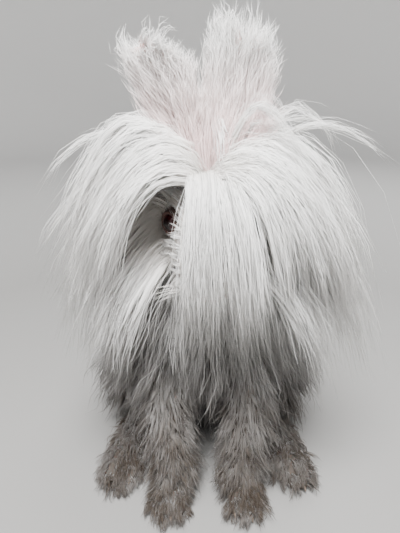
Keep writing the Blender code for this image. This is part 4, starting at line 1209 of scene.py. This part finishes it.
def foot_bed(rng, skin):
    """Shaggy fur over the feet, which hangs forward over the toes."""

    def keep(points):
        low = (points[:, 2] < 0.029) & (points[:, 2] > 0.0022)
        hind = low & (np.abs(points[:, 0]) > 0.045) & (points[:, 1] < 0.012)
        fore = low & (np.abs(points[:, 0]) < 0.048) & (points[:, 1] < -0.060)
        return hind | fore

    def lay(root, normal):
        outward = Vector((normal.x, normal.y, max(normal.z, -0.1)))
        start = Vector((0, -1.00, 0.05)) + outward * 0.62 + shake(rng, 0.20)
        length = np.interp(root.z, (0.0, 0.010, 0.030), (0.010, 0.020, 0.028)) * rng.uniform(0.7, 1.25)
        return start, length, 0.7, (0.5 + root.x * 4, 0.5 + root.y * 2.4 + root.z)

    return skin_bed(rng, skin, keep, 850, lay, 0.0030)


SILK = Lie(hairs=12, spread=0.0070, gather=0.80, wave=0.0026, frizz=0.0028, shortest=0.58, stray=0.10,
           width=0.00052, core=0.60, core_end=0.60, sides=6, rings=6)
FORELOCK = Lie(hairs=24, spread=0.0036, gather=0.40, wave=0.0030, turns=1.7, frizz=0.0030, shortest=0.55,
               stray=0.03, flat=0.8, width=0.00042, core=0.62, core_end=0.55, sides=6, rings=7)
LONG = Lie(hairs=12, gather=0.78, core_end=0.55, rings=6, sides=6, width=0.00050, points=6, frizz=0.0024)
WISP = Lie(hairs=12, spread=0.0026, gather=0.5, width=0.00036, wave=0.0030, frizz=0.0018, stray=0.2,
           shortest=0.6, core=0)
FLUFF = Lie(hairs=7, spread=0.0080, gather=1.0, width=0.00032, wave=0.0034, frizz=0.0028, stray=0.1,
            shortest=0.5, core=0)
PARTING = Lie(hairs=16, spread=0.0040, gather=0.9, width=0.00036, frizz=0.0016, points=6, stray=0.06,
              shortest=0.5, core=0)
TEMPLE = Lie(hairs=10, spread=0.0038, gather=0.8, width=0.00042, frizz=0.0012, wave=0.0008, points=5,
             stray=0.03, core=0.6, core_end=0.6, sides=5, rings=4)
BODY = Lie(hairs=19, spread=0.0080, gather=0.85, width=0.00066, wave=0.0026, frizz=0.0036, points=5,
           shortest=0.45, core=0.36, core_end=0.45, sides=5, rings=4, stray=0.1)
DOWNY = Lie(hairs=12, spread=0.0062, gather=0.85, wave=0.0018, frizz=0.0030, points=5, shortest=0.45,
            core=0.28, core_end=0.50, sides=5, rings=4, stray=0.1)
UNDER = Lie(hairs=3, spread=0.0074, gather=0.85, width=0.00070, wave=0.0014, frizz=0.0026, points=4,
            shortest=0.6, core=0.46, core_end=0.70, sides=4, rings=4)
EAR = Lie(hairs=12, spread=0.0044, gather=0.8, width=0.00042, wave=0.0026, turns=1.4, frizz=0.0024, points=5,
          shortest=0.40, core=0.5, core_end=0.50, sides=5, rings=4, stray=0)
SHORT = Lie(hairs=5, spread=0.0018, gather=0.8, width=0.00042, wave=0.0003, frizz=0.0006, points=4,
            shortest=0.6, stray=0, core=0)
FOOT = Lie(hairs=8, spread=0.0030, gather=0.8, width=0.00068, wave=0.0008, frizz=0.0018, points=4,
           shortest=0.5, stray=0, core=0)
TRUNK_PIECES = (  # name, stations along the trunk, degrees round it, rows and columns of locks
    ("coat_bib", (0.1, 2.3), (112, 248), (8, 12)),
    ("coat_collar", (-0.1, 1.5), (-112, 112), (7, 17)),
    ("coat_shoulders", (1.5, 3.9), (-112, 112), (10, 17)),
    ("coat_belly", (2.3, 4.2), (112, 248), (5, 10)),
    ("coat_rump", (3.9, 7.7), (-118, 118), (11, 15)),
)


def make_coat(skin, body):
    """The meshes of all coat pieces, named as they are; the order of the beds decides the random draws."""
    rng = np.random.default_rng(COAT_SEED)
    beds = {"coat_fringe": [(fringe_bed(rng), FORELOCK)]}
    beds["coat_throat"] = [(throat_bed(rng), LONG)]
    beds["coat_wisps"] = [(wisp_bed(rng), WISP), (fluff_bed(rng, 165), FLUFF)]
    beds["coat_parting"] = [(parting_bed(rng), PARTING)]
    beds["coat_curtain"] = [(curtain_bed(rng), SILK)]
    for side, sign in SIDES:
        beds["coat_crown_" + side] = [(arch_bed(rng, sign, 0.0, 4.6, CROWN_LOCKS[sign]), SILK)]
        beds["coat_cheek_" + side] = [(arch_bed(rng, sign, 4.6, 7.0, 115), SILK),
                                      (temple_bed(rng, sign), TEMPLE), (jowl_bed(rng, sign), TEMPLE)]
        beds["coat_ear_" + side] = [(bed, EAR) for bed in ear_beds(rng, sign)]
        beds["coat_leg_" + side] = [(foreleg_bed(rng, sign), DOWNY), (thigh_bed(rng, skin, sign), DOWNY)]
    beds["coat_nape"] = [(nape_bed(rng), LONG), (cap_bed(rng), LONG)]
    beds["coat_under"] = [(under_bed(rng, skin), UNDER)]
    beds["coat_face"] = [(face_bed(rng, skin), SHORT)]
    beds["coat_feet"] = [(foot_bed(rng, skin), FOOT)]
    for name, *sizes in TRUNK_PIECES:
        beds[name] = [(trunk_bed(rng, *sizes), BODY)]
    beds["coat_tail"] = [(tail_bed(rng), DOWNY)]
    return [coat_mesh(name, [part for bed, lie in groups for part in locks_of(bed, lie, body, rng)])
            for name, groups in beds.items()]


# Eyes, claws, whiskers
WHISKER_WIDTH = 0.00042


def eye_mesh(sign):
    """An eyeball with a bulge over iris and pupil; gaze is the angle from the pupil's middle."""
    bm = bmesh.new()
    bmesh.ops.create_uvsphere(bm, u_segments=48, v_segments=40, radius=EYE_RADIUS)
    gaze = gaze_axes(sign)[0]
    bm.transform(UP.rotation_difference(gaze).to_matrix().to_4x4())
    turns = []
    for v in bm.verts:
        turn = v.co.normalized().angle(gaze)
        v.co += v.co.normalized() * 0.0007 * math.exp(-(turn / 0.62) ** 4)
        turns.append(turn)
    bm.transform(Matrix.Translation(eye_centre(sign)))
    mesh = mesh_from(bm, "eye")
    add_values(mesh, "gaze", np.array(turns))
    return smoothed(mesh)


def claws_mesh():
    """All sixteen claws, slightly hooked."""
    bm = bmesh.new()
    for _, sign in SIDES:
        for _, *sizes in FEET:
            forward = foot_frame(sizes[0], sizes[1], sign)[1]
            for place, radius in toe_places(sizes, sign):
                rings = []
                for k in range(CLAW_RINGS):
                    share = k / CLAW_RINGS
                    middle = place + forward * (radius * 0.8 + CLAW_LENGTH * share)
                    middle += DOWN * (share * share * 0.0022 - 0.0008)
                    thick = CLAW_RADIUS * (1 - 0.75 * share ** 1.4)
                    rings.append(oval(middle, forward.cross(DOWN), DOWN, thick, thick * 1.2, 10))
                add_loft(bm, rings, place + forward * (radius * 0.8 + CLAW_LENGTH) + DOWN * 0.0016)
    return smoothed(mesh_from(bm, "claws"))


def whiskers_mesh():
    """Eleven thin whiskers on each side of the muzzle, which sag a little."""
    rng = np.random.default_rng(WHISKER_SEED)
    lines = []
    for _, sign in SIDES:
        for _ in range(11):
            along, angle = 0.036 + 0.012 * rng.uniform(), math.radians(104 + 34 * rng.uniform()) * sign
            root, normal = on_head(along, angle, -0.001)
            way = normal * 0.8 + SIDE_AXIS * sign * 0.6 - NOSE_AXIS * rng.uniform(0.0, 0.4)
            length = rng.uniform(0.028, 0.046)
            line, point = [], root.copy()
            for step in range(9):
                line.append(tuple(point))
                point = point + (way.normalized() + DOWN * 0.09 * step).normalized() * length / 8
            lines.append(line)
    count = len(lines)
    width, place = np.full(count, WHISKER_WIDTH), np.full((count, 2), 0.5)
    return coat_mesh("whiskers", [hair_arrays(np.array(lines), width, place, rng.normal(0, 0.2, count))])


# Materials
DULL_WOOL, BRIGHT_WOOL, WARM_TIP = (0.86, 0.855, 0.84, 1), (0.97, 0.965, 0.955, 1), (0.82, 0.76, 0.68, 1)
PLAIN_ROOT, PINK_ROOT = (0.90, 0.87, 0.83, 1), (0.93, 0.78, 0.75, 1)
NO_TINT, PINK_TINT = (0.9, 0.9, 0.9, 0.0), (0.93, 0.72, 0.70, 0.7)
# Darkest wool and skin low down: real stains together with painted shade under the head's hair
SOILED_AND_SHADED_WOOL, SOILED_AND_SHADED_SKIN = (0.055, 0.038, 0.025, 1), (0.042, 0.034, 0.028, 1)
# The skin under the coat is greyed, as painted shade between the hairs
DEEP_PINK, PALE_PINK, SHADED_FURRED_SKIN = (0.55, 0.34, 0.31, 1), (0.66, 0.45, 0.41, 1), (0.66, 0.61, 0.57, 1)
DARK_IRIS, RED_IRIS = (0.009, 0.0009, 0.0012, 1), (0.024, 0.0022, 0.0030, 1)
PUPIL, IRIS_RIM, EYE_WHITE = (0.003, 0.0005, 0.0005, 1), (0.014, 0.002, 0.003, 1), (0.50, 0.32, 0.30, 1)
# The claws are dark brown as painted shade, for claws that lie in the shade of the feet's fur
SHADED_DARK_CLAW, SHADED_PALE_CLAW = (0.060, 0.042, 0.030, 1), (0.13, 0.095, 0.070, 1)
WHISKER_ROOT, WHISKER_TIP = (0.80, 0.77, 0.72, 1), (0.95, 0.93, 0.90, 1)
# How high in front and behind, and how strongly, stains and painted shade darken wool and skin towards the
# floor; the front reaches higher, as painted shade under the mop
BODY_SOIL_AND_SHADE = {"Front Height": 0.34, "Back Height": 0.13, "Amount": 1.05}
MOP_SOIL_AND_SHADE = {"Front Height": 0.295, "Back Height": 0.200, "Amount": 0.80}
SKIN_SOIL_AND_SHADE = {"Front Height": 0.34, "Back Height": 0.20, "Amount": 1.25}
SOIL_AND_SHADE_FRONT, SOIL_AND_SHADE_BACK = -0.085, 0.030  # where along the body the front and the back height of the stains and painted shade hold
MOP_PARTS = ("fringe", "wisps", "curtain", "crown", "cheek", "nape", "face")
EAR_FRONT = [(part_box("ear_left")[0][1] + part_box("ear_left")[1][1]) / 2 + step for step in (0.000, 0.014)]
EYE_SHADES = (  # painted shade, with some staining, round the eyes: middle from the eye's, where it begins to fade and where it ends, strength, brown
    ((0.023, 0.010, -0.011), 0.008, 0.036, 0.34, (0.42, 0.34, 0.27, 1)),
    ((0, 0, 0), 0.0104, 0.0126, 0.92, (0.07, 0.045, 0.038, 1)),
)
COLOUR, NUMBER = "NodeSocketColor", "NodeSocketFloat"


def feed(tree, socket, value):
    """Links a value to a socket, or sets it there."""
    if isinstance(value, bpy.types.NodeSocket):
        tree.links.new(value, socket)
    else:
        socket.default_value = value


def linked(tree, kind, **inputs):
    """A node with its inputs linked or set."""
    node = tree.nodes.new(kind)
    for key, value in inputs.items():
        feed(tree, node.inputs[key.replace("_", " ")], value)
    return node


def new_group(name, inputs, *outputs):
    """An empty node group, with what it is given and what it gives."""
    group = bpy.data.node_groups.new(name, "ShaderNodeTree")
    for label, kind, value in inputs:
        group.interface.new_socket(label, in_out="INPUT", socket_type=kind).default_value = value
    for label, kind in outputs:
        group.interface.new_socket(label, in_out="OUTPUT", socket_type=kind)
    return group, group.nodes.new("NodeGroupInput").outputs, group.nodes.new("NodeGroupOutput").inputs


def use_group(tree, group, **inputs):
    node = tree.nodes.new("ShaderNodeGroup")
    node.node_tree = group
    for key, value in inputs.items():
        feed(tree, node.inputs[key], value)
    return node.outputs


def colour_mix(tree, factor, a, b):
    mix = tree.nodes.new("ShaderNodeMix")
    mix.data_type = "RGBA"
    for slot, value in ((0, factor), (6, a), (7, b)):
        feed(tree, mix.inputs[slot], value)
    return mix.outputs[2]


def mapped(tree, value, from_min, from_max, to_min=0.0, to_max=1.0):
    """A value carried from one range to another, and held at its ends."""
    return linked(tree, "ShaderNodeMapRange", Value=value, From_Min=from_min, From_Max=from_max,
                  To_Min=to_min, To_Max=to_max).outputs[0]


def combined(tree, operation, a, b):
    node = tree.nodes.new("ShaderNodeMath")
    node.operation = operation
    feed(tree, node.inputs[0], a)
    feed(tree, node.inputs[1], b)
    return node.outputs[0]


def measured(tree, operation, vector):
    node = linked(tree, "ShaderNodeVectorMath", Vector=vector)
    node.operation = operation
    return node


def noise(tree, scale, detail, **inputs):
    return linked(tree, "ShaderNodeTexNoise", Scale=scale, Detail=detail, **inputs).outputs["Fac"]


def position(tree):
    return tree.nodes.new("ShaderNodeNewGeometry").outputs["Position"]


def attribute(tree, name):
    node = tree.nodes.new("ShaderNodeAttribute")
    node.attribute_name = name
    return node.outputs["Fac"]


def bumped(tree, sockets, height, strength, distance):
    """Roughens the surface by a height."""
    bump = linked(tree, "ShaderNodeBump", Height=height, Strength=strength, Distance=distance)
    feed(tree, sockets["Normal"], bump.outputs["Normal"])


def material(name, roughness, **settings):
    """A material, its node tree, and the inputs of its shader."""
    made = bpy.data.materials.new(name)
    made.use_nodes = True
    shader = made.node_tree.nodes["Principled BSDF"]
    shader.inputs["Roughness"].default_value = roughness
    for key, value in settings.items():
        shader.inputs[key.replace("_", " ")].default_value = value
    return made, made.node_tree, shader.inputs


def soiling_and_shade_group():
    """Greys and browns the wool towards the floor in soft patches, on skin and coat alike: real stains on
    legs and feet, and painted shade that reaches higher in front, under the head's hair.
    """
    given = (("Clean", COLOUR, (0.9, 0.9, 0.9, 1)), ("Soiled", COLOUR, (0.5, 0.4, 0.3, 1)),
             ("Front Height", NUMBER, 0.2), ("Back Height", NUMBER, 0.1), ("Amount", NUMBER, 0.5))
    group, given, result = new_group("soiling", given, ("Color", COLOUR))
    place = position(group)
    parts = linked(group, "ShaderNodeSeparateXYZ", Vector=place).outputs
    height = mapped(group, parts["Y"], SOIL_AND_SHADE_FRONT, SOIL_AND_SHADE_BACK, given["Front Height"], given["Back Height"])
    fall = mapped(group, parts["Z"], 0.0, height, 1.0, 0.0)
    fall.node.interpolation_type = "SMOOTHSTEP"
    spots = mapped(group, noise(group, 46.0, 3.0, Vector=place), 0.30, 0.70, 0.82, 1.0)
    level = combined(group, "MULTIPLY", combined(group, "MULTIPLY", fall, spots), given["Amount"])
    feed(group, result["Color"], colour_mix(group, level, given["Clean"], given["Soiled"]))
    return group


def eye_shade_group():
    """Browns the fur round the eyes and in the hollows beside them, on skin and coat alike: painted shade
    with some staining.
    """
    group, given, result = new_group("eye_shade", [("Clean", COLOUR, (0.9, 0.9, 0.9, 1))], ("Color", COLOUR))
    place = position(group)
    colour = given["Clean"]
    for _, sign in SIDES:
        for beside, near, far, level, tint in EYE_SHADES:
            away = measured(group, "DISTANCE", place)
            away.inputs[1].default_value = eye_centre(sign) + SHIFT + mirrored(beside, sign)
            mask = mapped(group, away.outputs["Value"], near, far, level, 0.0)
            brown = colour_mix(group, 1.0, colour, tint)
            brown.node.blend_type = "MULTIPLY"
            colour = colour_mix(group, mask, colour, brown)
    feed(group, result["Color"], colour)
    return group


def strands_group():
    """Fine streaks along a lock: strand is the place round it, tone the lock's own shade."""
    given = (("Strand", NUMBER, 0.5), ("Tone", NUMBER, 0.0), ("Fineness", NUMBER, 18.0))
    group, given, result = new_group("strands", given, ("Shade", NUMBER), ("Height", NUMBER))
    streaks = noise(group, 1.0, 2.0)
    streaks.node.noise_dimensions = "1D"
    feed(group, streaks.node.inputs["W"], combined(group, "MULTIPLY", given["Strand"], given["Fineness"]))
    streak = mapped(group, streaks, 0.3, 0.7, -0.35, 0.35)
    total = combined(group, "ADD", given["Tone"], streak)
    feed(group, result["Shade"], mapped(group, total, -0.9, 0.9))
    feed(group, result["Height"], streaks)
    return group


def wool_material(name, soiling, shade, strands, root_tint, low_tint, soil_and_shade):
    """Silky white wool: warmer at the tips, tinted near the skin and low on the ears, and stained and
    darkened with painted shade towards the floor.
    """
    made, tree, sockets = material(name, 0.42, Sheen_Weight=0.3, Sheen_Roughness=0.4, Specular_IOR_Level=0.5)
    fine = use_group(tree, strands, Strand=attribute(tree, "strand"), Tone=attribute(tree, "tone"),
                     Fineness=18.0)
    clean = colour_mix(tree, fine["Shade"], DULL_WOOL, BRIGHT_WOOL)
    tip = attribute(tree, "tip")
    warm = colour_mix(tree, mapped(tree, tip, 0.75, 1.0, 0.0, 0.22), clean, WARM_TIP)
    rooted_wool = colour_mix(tree, mapped(tree, tip, 0.0, 0.45, 1.0, 0.0), warm, root_tint)
    parts = linked(tree, "ShaderNodeSeparateXYZ", Vector=position(tree)).outputs
    *tint, amount = low_tint
    before = mapped(tree, parts["Y"], *EAR_FRONT, amount, amount * 0.2)
    low = mapped(tree, parts["Z"], 0.303, 0.362, 1.0, 0.0)
    tinted = colour_mix(tree, combined(tree, "MULTIPLY", low, before), rooted_wool, (*tint, 1))
    shaded = use_group(tree, shade, Clean=tinted)["Color"]
    colour = use_group(tree, soiling, Clean=shaded, Soiled=SOILED_AND_SHADED_WOOL, **soil_and_shade)["Color"]
    feed(tree, sockets["Base Color"], colour)
    bumped(tree, sockets, fine["Height"], 0.5, 0.0008)
    through = linked(tree, "ShaderNodeBsdfTranslucent", Color=colour)
    both = linked(tree, "ShaderNodeMixShader", Fac=0.42)
    feed(tree, both.inputs[1], tree.nodes["Principled BSDF"].outputs[0])
    feed(tree, both.inputs[2], through.outputs[0])
    feed(tree, tree.nodes["Material Output"].inputs["Surface"], both.outputs[0])
    return made


def skin_material(soiling, shade):
    """Pink skin where it is bare, and pale where fur covers it, greyed there as painted shade between the
    hairs.
    """
    made, tree, sockets = material("skin", 0.6, Subsurface_Weight=0.25, Subsurface_Scale=0.004,
                                   Specular_IOR_Level=0.2)
    sockets["Subsurface Radius"].default_value = (1.0, 0.35, 0.25)
    grain = noise(tree, 380.0, 3.0)
    pink = colour_mix(tree, grain, DEEP_PINK, PALE_PINK)
    clean = colour_mix(tree, attribute(tree, "bare"), SHADED_FURRED_SKIN, pink)
    shaded = use_group(tree, shade, Clean=clean)["Color"]
    colour = use_group(tree, soiling, Clean=shaded, Soiled=SOILED_AND_SHADED_SKIN, **SKIN_SOIL_AND_SHADE)["Color"]
    feed(tree, sockets["Base Color"], colour)
    bumped(tree, sockets, grain, 0.35, 0.0006)
    return made


def eye_material():
    """Ruby eye, by the angle from the pupil's middle: pupil, iris, its dark rim, and the white."""
    made, tree, sockets = material("ruby_eye", 0.08, Coat_Weight=0.15, Coat_Roughness=0.02,
                                   Specular_IOR_Level=0.35)
    gaze = attribute(tree, "gaze")
    iris = colour_mix(tree, noise(tree, 900.0, 2.0), DARK_IRIS, RED_IRIS)
    inner = colour_mix(tree, mapped(tree, gaze, 0.42, 0.52), PUPIL, iris)
    outer = colour_mix(tree, mapped(tree, gaze, 0.86, 1.02), inner, IRIS_RIM)
    feed(tree, sockets["Base Color"], colour_mix(tree, mapped(tree, gaze, 1.30, 1.45), outer, EYE_WHITE))
    return made


# Dark brown claws: painted shade for claws that lie in the shade of the feet's fur
def claw_material():
    made, tree, sockets = material("claw", 0.45, Specular_IOR_Level=0.3)
    grain = noise(tree, 520.0, 3.0)
    feed(tree, sockets["Base Color"], colour_mix(tree, grain, SHADED_DARK_CLAW, SHADED_PALE_CLAW))
    bumped(tree, sockets, grain, 0.3, 0.0003)
    return made


def whisker_material():
    made, tree, sockets = material("whisker", 0.3)
    feed(tree, sockets["Base Color"], colour_mix(tree, attribute(tree, "tip"), WHISKER_ROOT, WHISKER_TIP))
    return made


# Studio
STAGE_RADIUS, STAGE_BEND, STAGE_TOP, STAGE_SIDES = 2.2, 0.9, 4.0, 72
DARK_FLOOR, PALE_FLOOR = (0.160, 0.157, 0.151, 1), (0.175, 0.172, 0.166, 1)
FRONT_WALL, BACK_WALL = (0.95, 0.94, 0.93, 1), (0.55, 0.545, 0.535, 1)
LIGHTS = (  # name, place, aim, size and power
    ("key", (-0.12, -0.80, 1.50), (0, -0.06, 0.22), 0.8, 150),
    ("fill", (0.7, -1.4, 0.9), (0, 0, 0.2), 1.2, 9),
    ("rim", (0.5, 1.2, 1.4), (0, 0, 0.25), 1.0, 26),
)
SKY, SKY_STRENGTH = (0.86, 0.88, 0.92, 1), 0.30
CAMERA_PLACE, CAMERA_PITCH, CAMERA_LENS, SENSOR_WIDTH = (-0.006, -0.428, 0.334), 70.0, 33.0, 36.0


def add_stage():
    """A round floor that turns up into a wall on every side, paler in front, where less light falls."""
    bends = [math.radians(10 * k) for k in range(10)]
    profile = [(STAGE_RADIUS + STAGE_BEND * math.sin(a), STAGE_BEND - STAGE_BEND * math.cos(a))
               for a in bends]
    profile.append((profile[-1][0], STAGE_TOP))
    bm = bmesh.new()
    turns = [2 * math.pi * k / STAGE_SIDES for k in range(STAGE_SIDES)]
    rows = [[bm.verts.new((r * math.cos(a), r * math.sin(a), z)) for a in turns] for r, z in profile]
    bm.faces.new(rows[0])
    for low, high in zip(rows, rows[1:]):
        for k in range(STAGE_SIDES):
            bm.faces.new((low[k - 1], low[k], high[k], high[k - 1]))
    floor = added("floor", smoothed(mesh_from(bm, "floor")))
    made, tree, sockets = material("studio_floor", 0.7)
    place = position(tree)
    away = measured(tree, "LENGTH", place).outputs["Value"]
    near = colour_mix(tree, noise(tree, 3.0, 4.0), DARK_FLOOR, PALE_FLOOR)
    parts = linked(tree, "ShaderNodeSeparateXYZ", Vector=place).outputs
    wall = colour_mix(tree, mapped(tree, parts["Y"], -3.0, 3.0), FRONT_WALL, BACK_WALL)
    feed(tree, sockets["Base Color"], colour_mix(tree, mapped(tree, away, 0.5, 3.2), near, wall))
    floor.data.materials.append(made)


def add_light(name, place, aim, size, power):
    light = bpy.data.lights.new(name, "AREA")
    light.shape, light.size, light.energy = "DISK", size, power
    obj = added(name, light)
    obj.location = place
    obj.rotation_euler = (Vector(aim) - Vector(place)).to_track_quat("-Z", "Y").to_euler()


def add_studio():
    add_stage()
    for light in LIGHTS:
        add_light(*light)
    world = bpy.data.worlds.new("studio")
    world.use_nodes = True
    sky = world.node_tree.nodes["Background"].inputs
    sky["Color"].default_value, sky["Strength"].default_value = SKY, SKY_STRENGTH
    bpy.context.scene.world = world


def add_camera():
    """The camera of the photo, which looks down at the face."""
    data = bpy.data.cameras.new("camera")
    data.lens, data.sensor_width = CAMERA_LENS, SENSOR_WIDTH
    camera = added("camera", data)
    camera.location = Vector(CAMERA_PLACE) + SHIFT
    camera.rotation_euler = (math.radians(CAMERA_PITCH), 0.0, 0.0)
    bpy.context.scene.camera = camera


def show(name, mesh, finish, nodes=()):
    """Moves a piece into the frame, gives it its finish, says what it rides on, and hides the imported parts
    that it stands for.
    """
    mesh.materials.clear()
    mesh.materials.append(finish)
    mesh.transform(Matrix.Translation(SHIFT))
    piece = added(name, mesh)
    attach(piece, "root")
    if nodes:
        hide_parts(*nodes)


def main():
    soiling = soiling_and_shade_group()
    strands = strands_group()
    shade = eye_shade_group()
    mop_wool = wool_material("mop_wool", soiling, shade, strands, PLAIN_ROOT, NO_TINT, MOP_SOIL_AND_SHADE)
    body_wool = wool_material("body_wool", soiling, shade, strands, PLAIN_ROOT, NO_TINT, BODY_SOIL_AND_SHADE)
    ear_wool = wool_material("ear_wool", soiling, shade, strands, PINK_ROOT, PINK_TINT, MOP_SOIL_AND_SHADE)
    flesh = skin_material(soiling, shade)
    skin = make_skin()
    work = bmesh.new()
    work.from_mesh(skin)
    body = BVHTree.FromBMesh(work)
    work.free()
    for mesh in make_coat(skin, body):
        part = mesh.name.split("_")[1]
        wool = ear_wool if part in ("ear", "parting") else mop_wool if part in MOP_PARTS else body_wool
        show(mesh.name, mesh, wool)
    show("skin", skin, flesh, SKIN_NODES)
    eye = eye_material()
    for side, sign in SIDES:
        show("eyeball_" + side, eye_mesh(sign), eye, ["eye_" + side])
    claws = [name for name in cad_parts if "claw" in name]
    show("claws", claws_mesh(), claw_material(), claws)
    show("whiskers", whiskers_mesh(), whisker_material())
    add_studio()
    add_camera()


main()
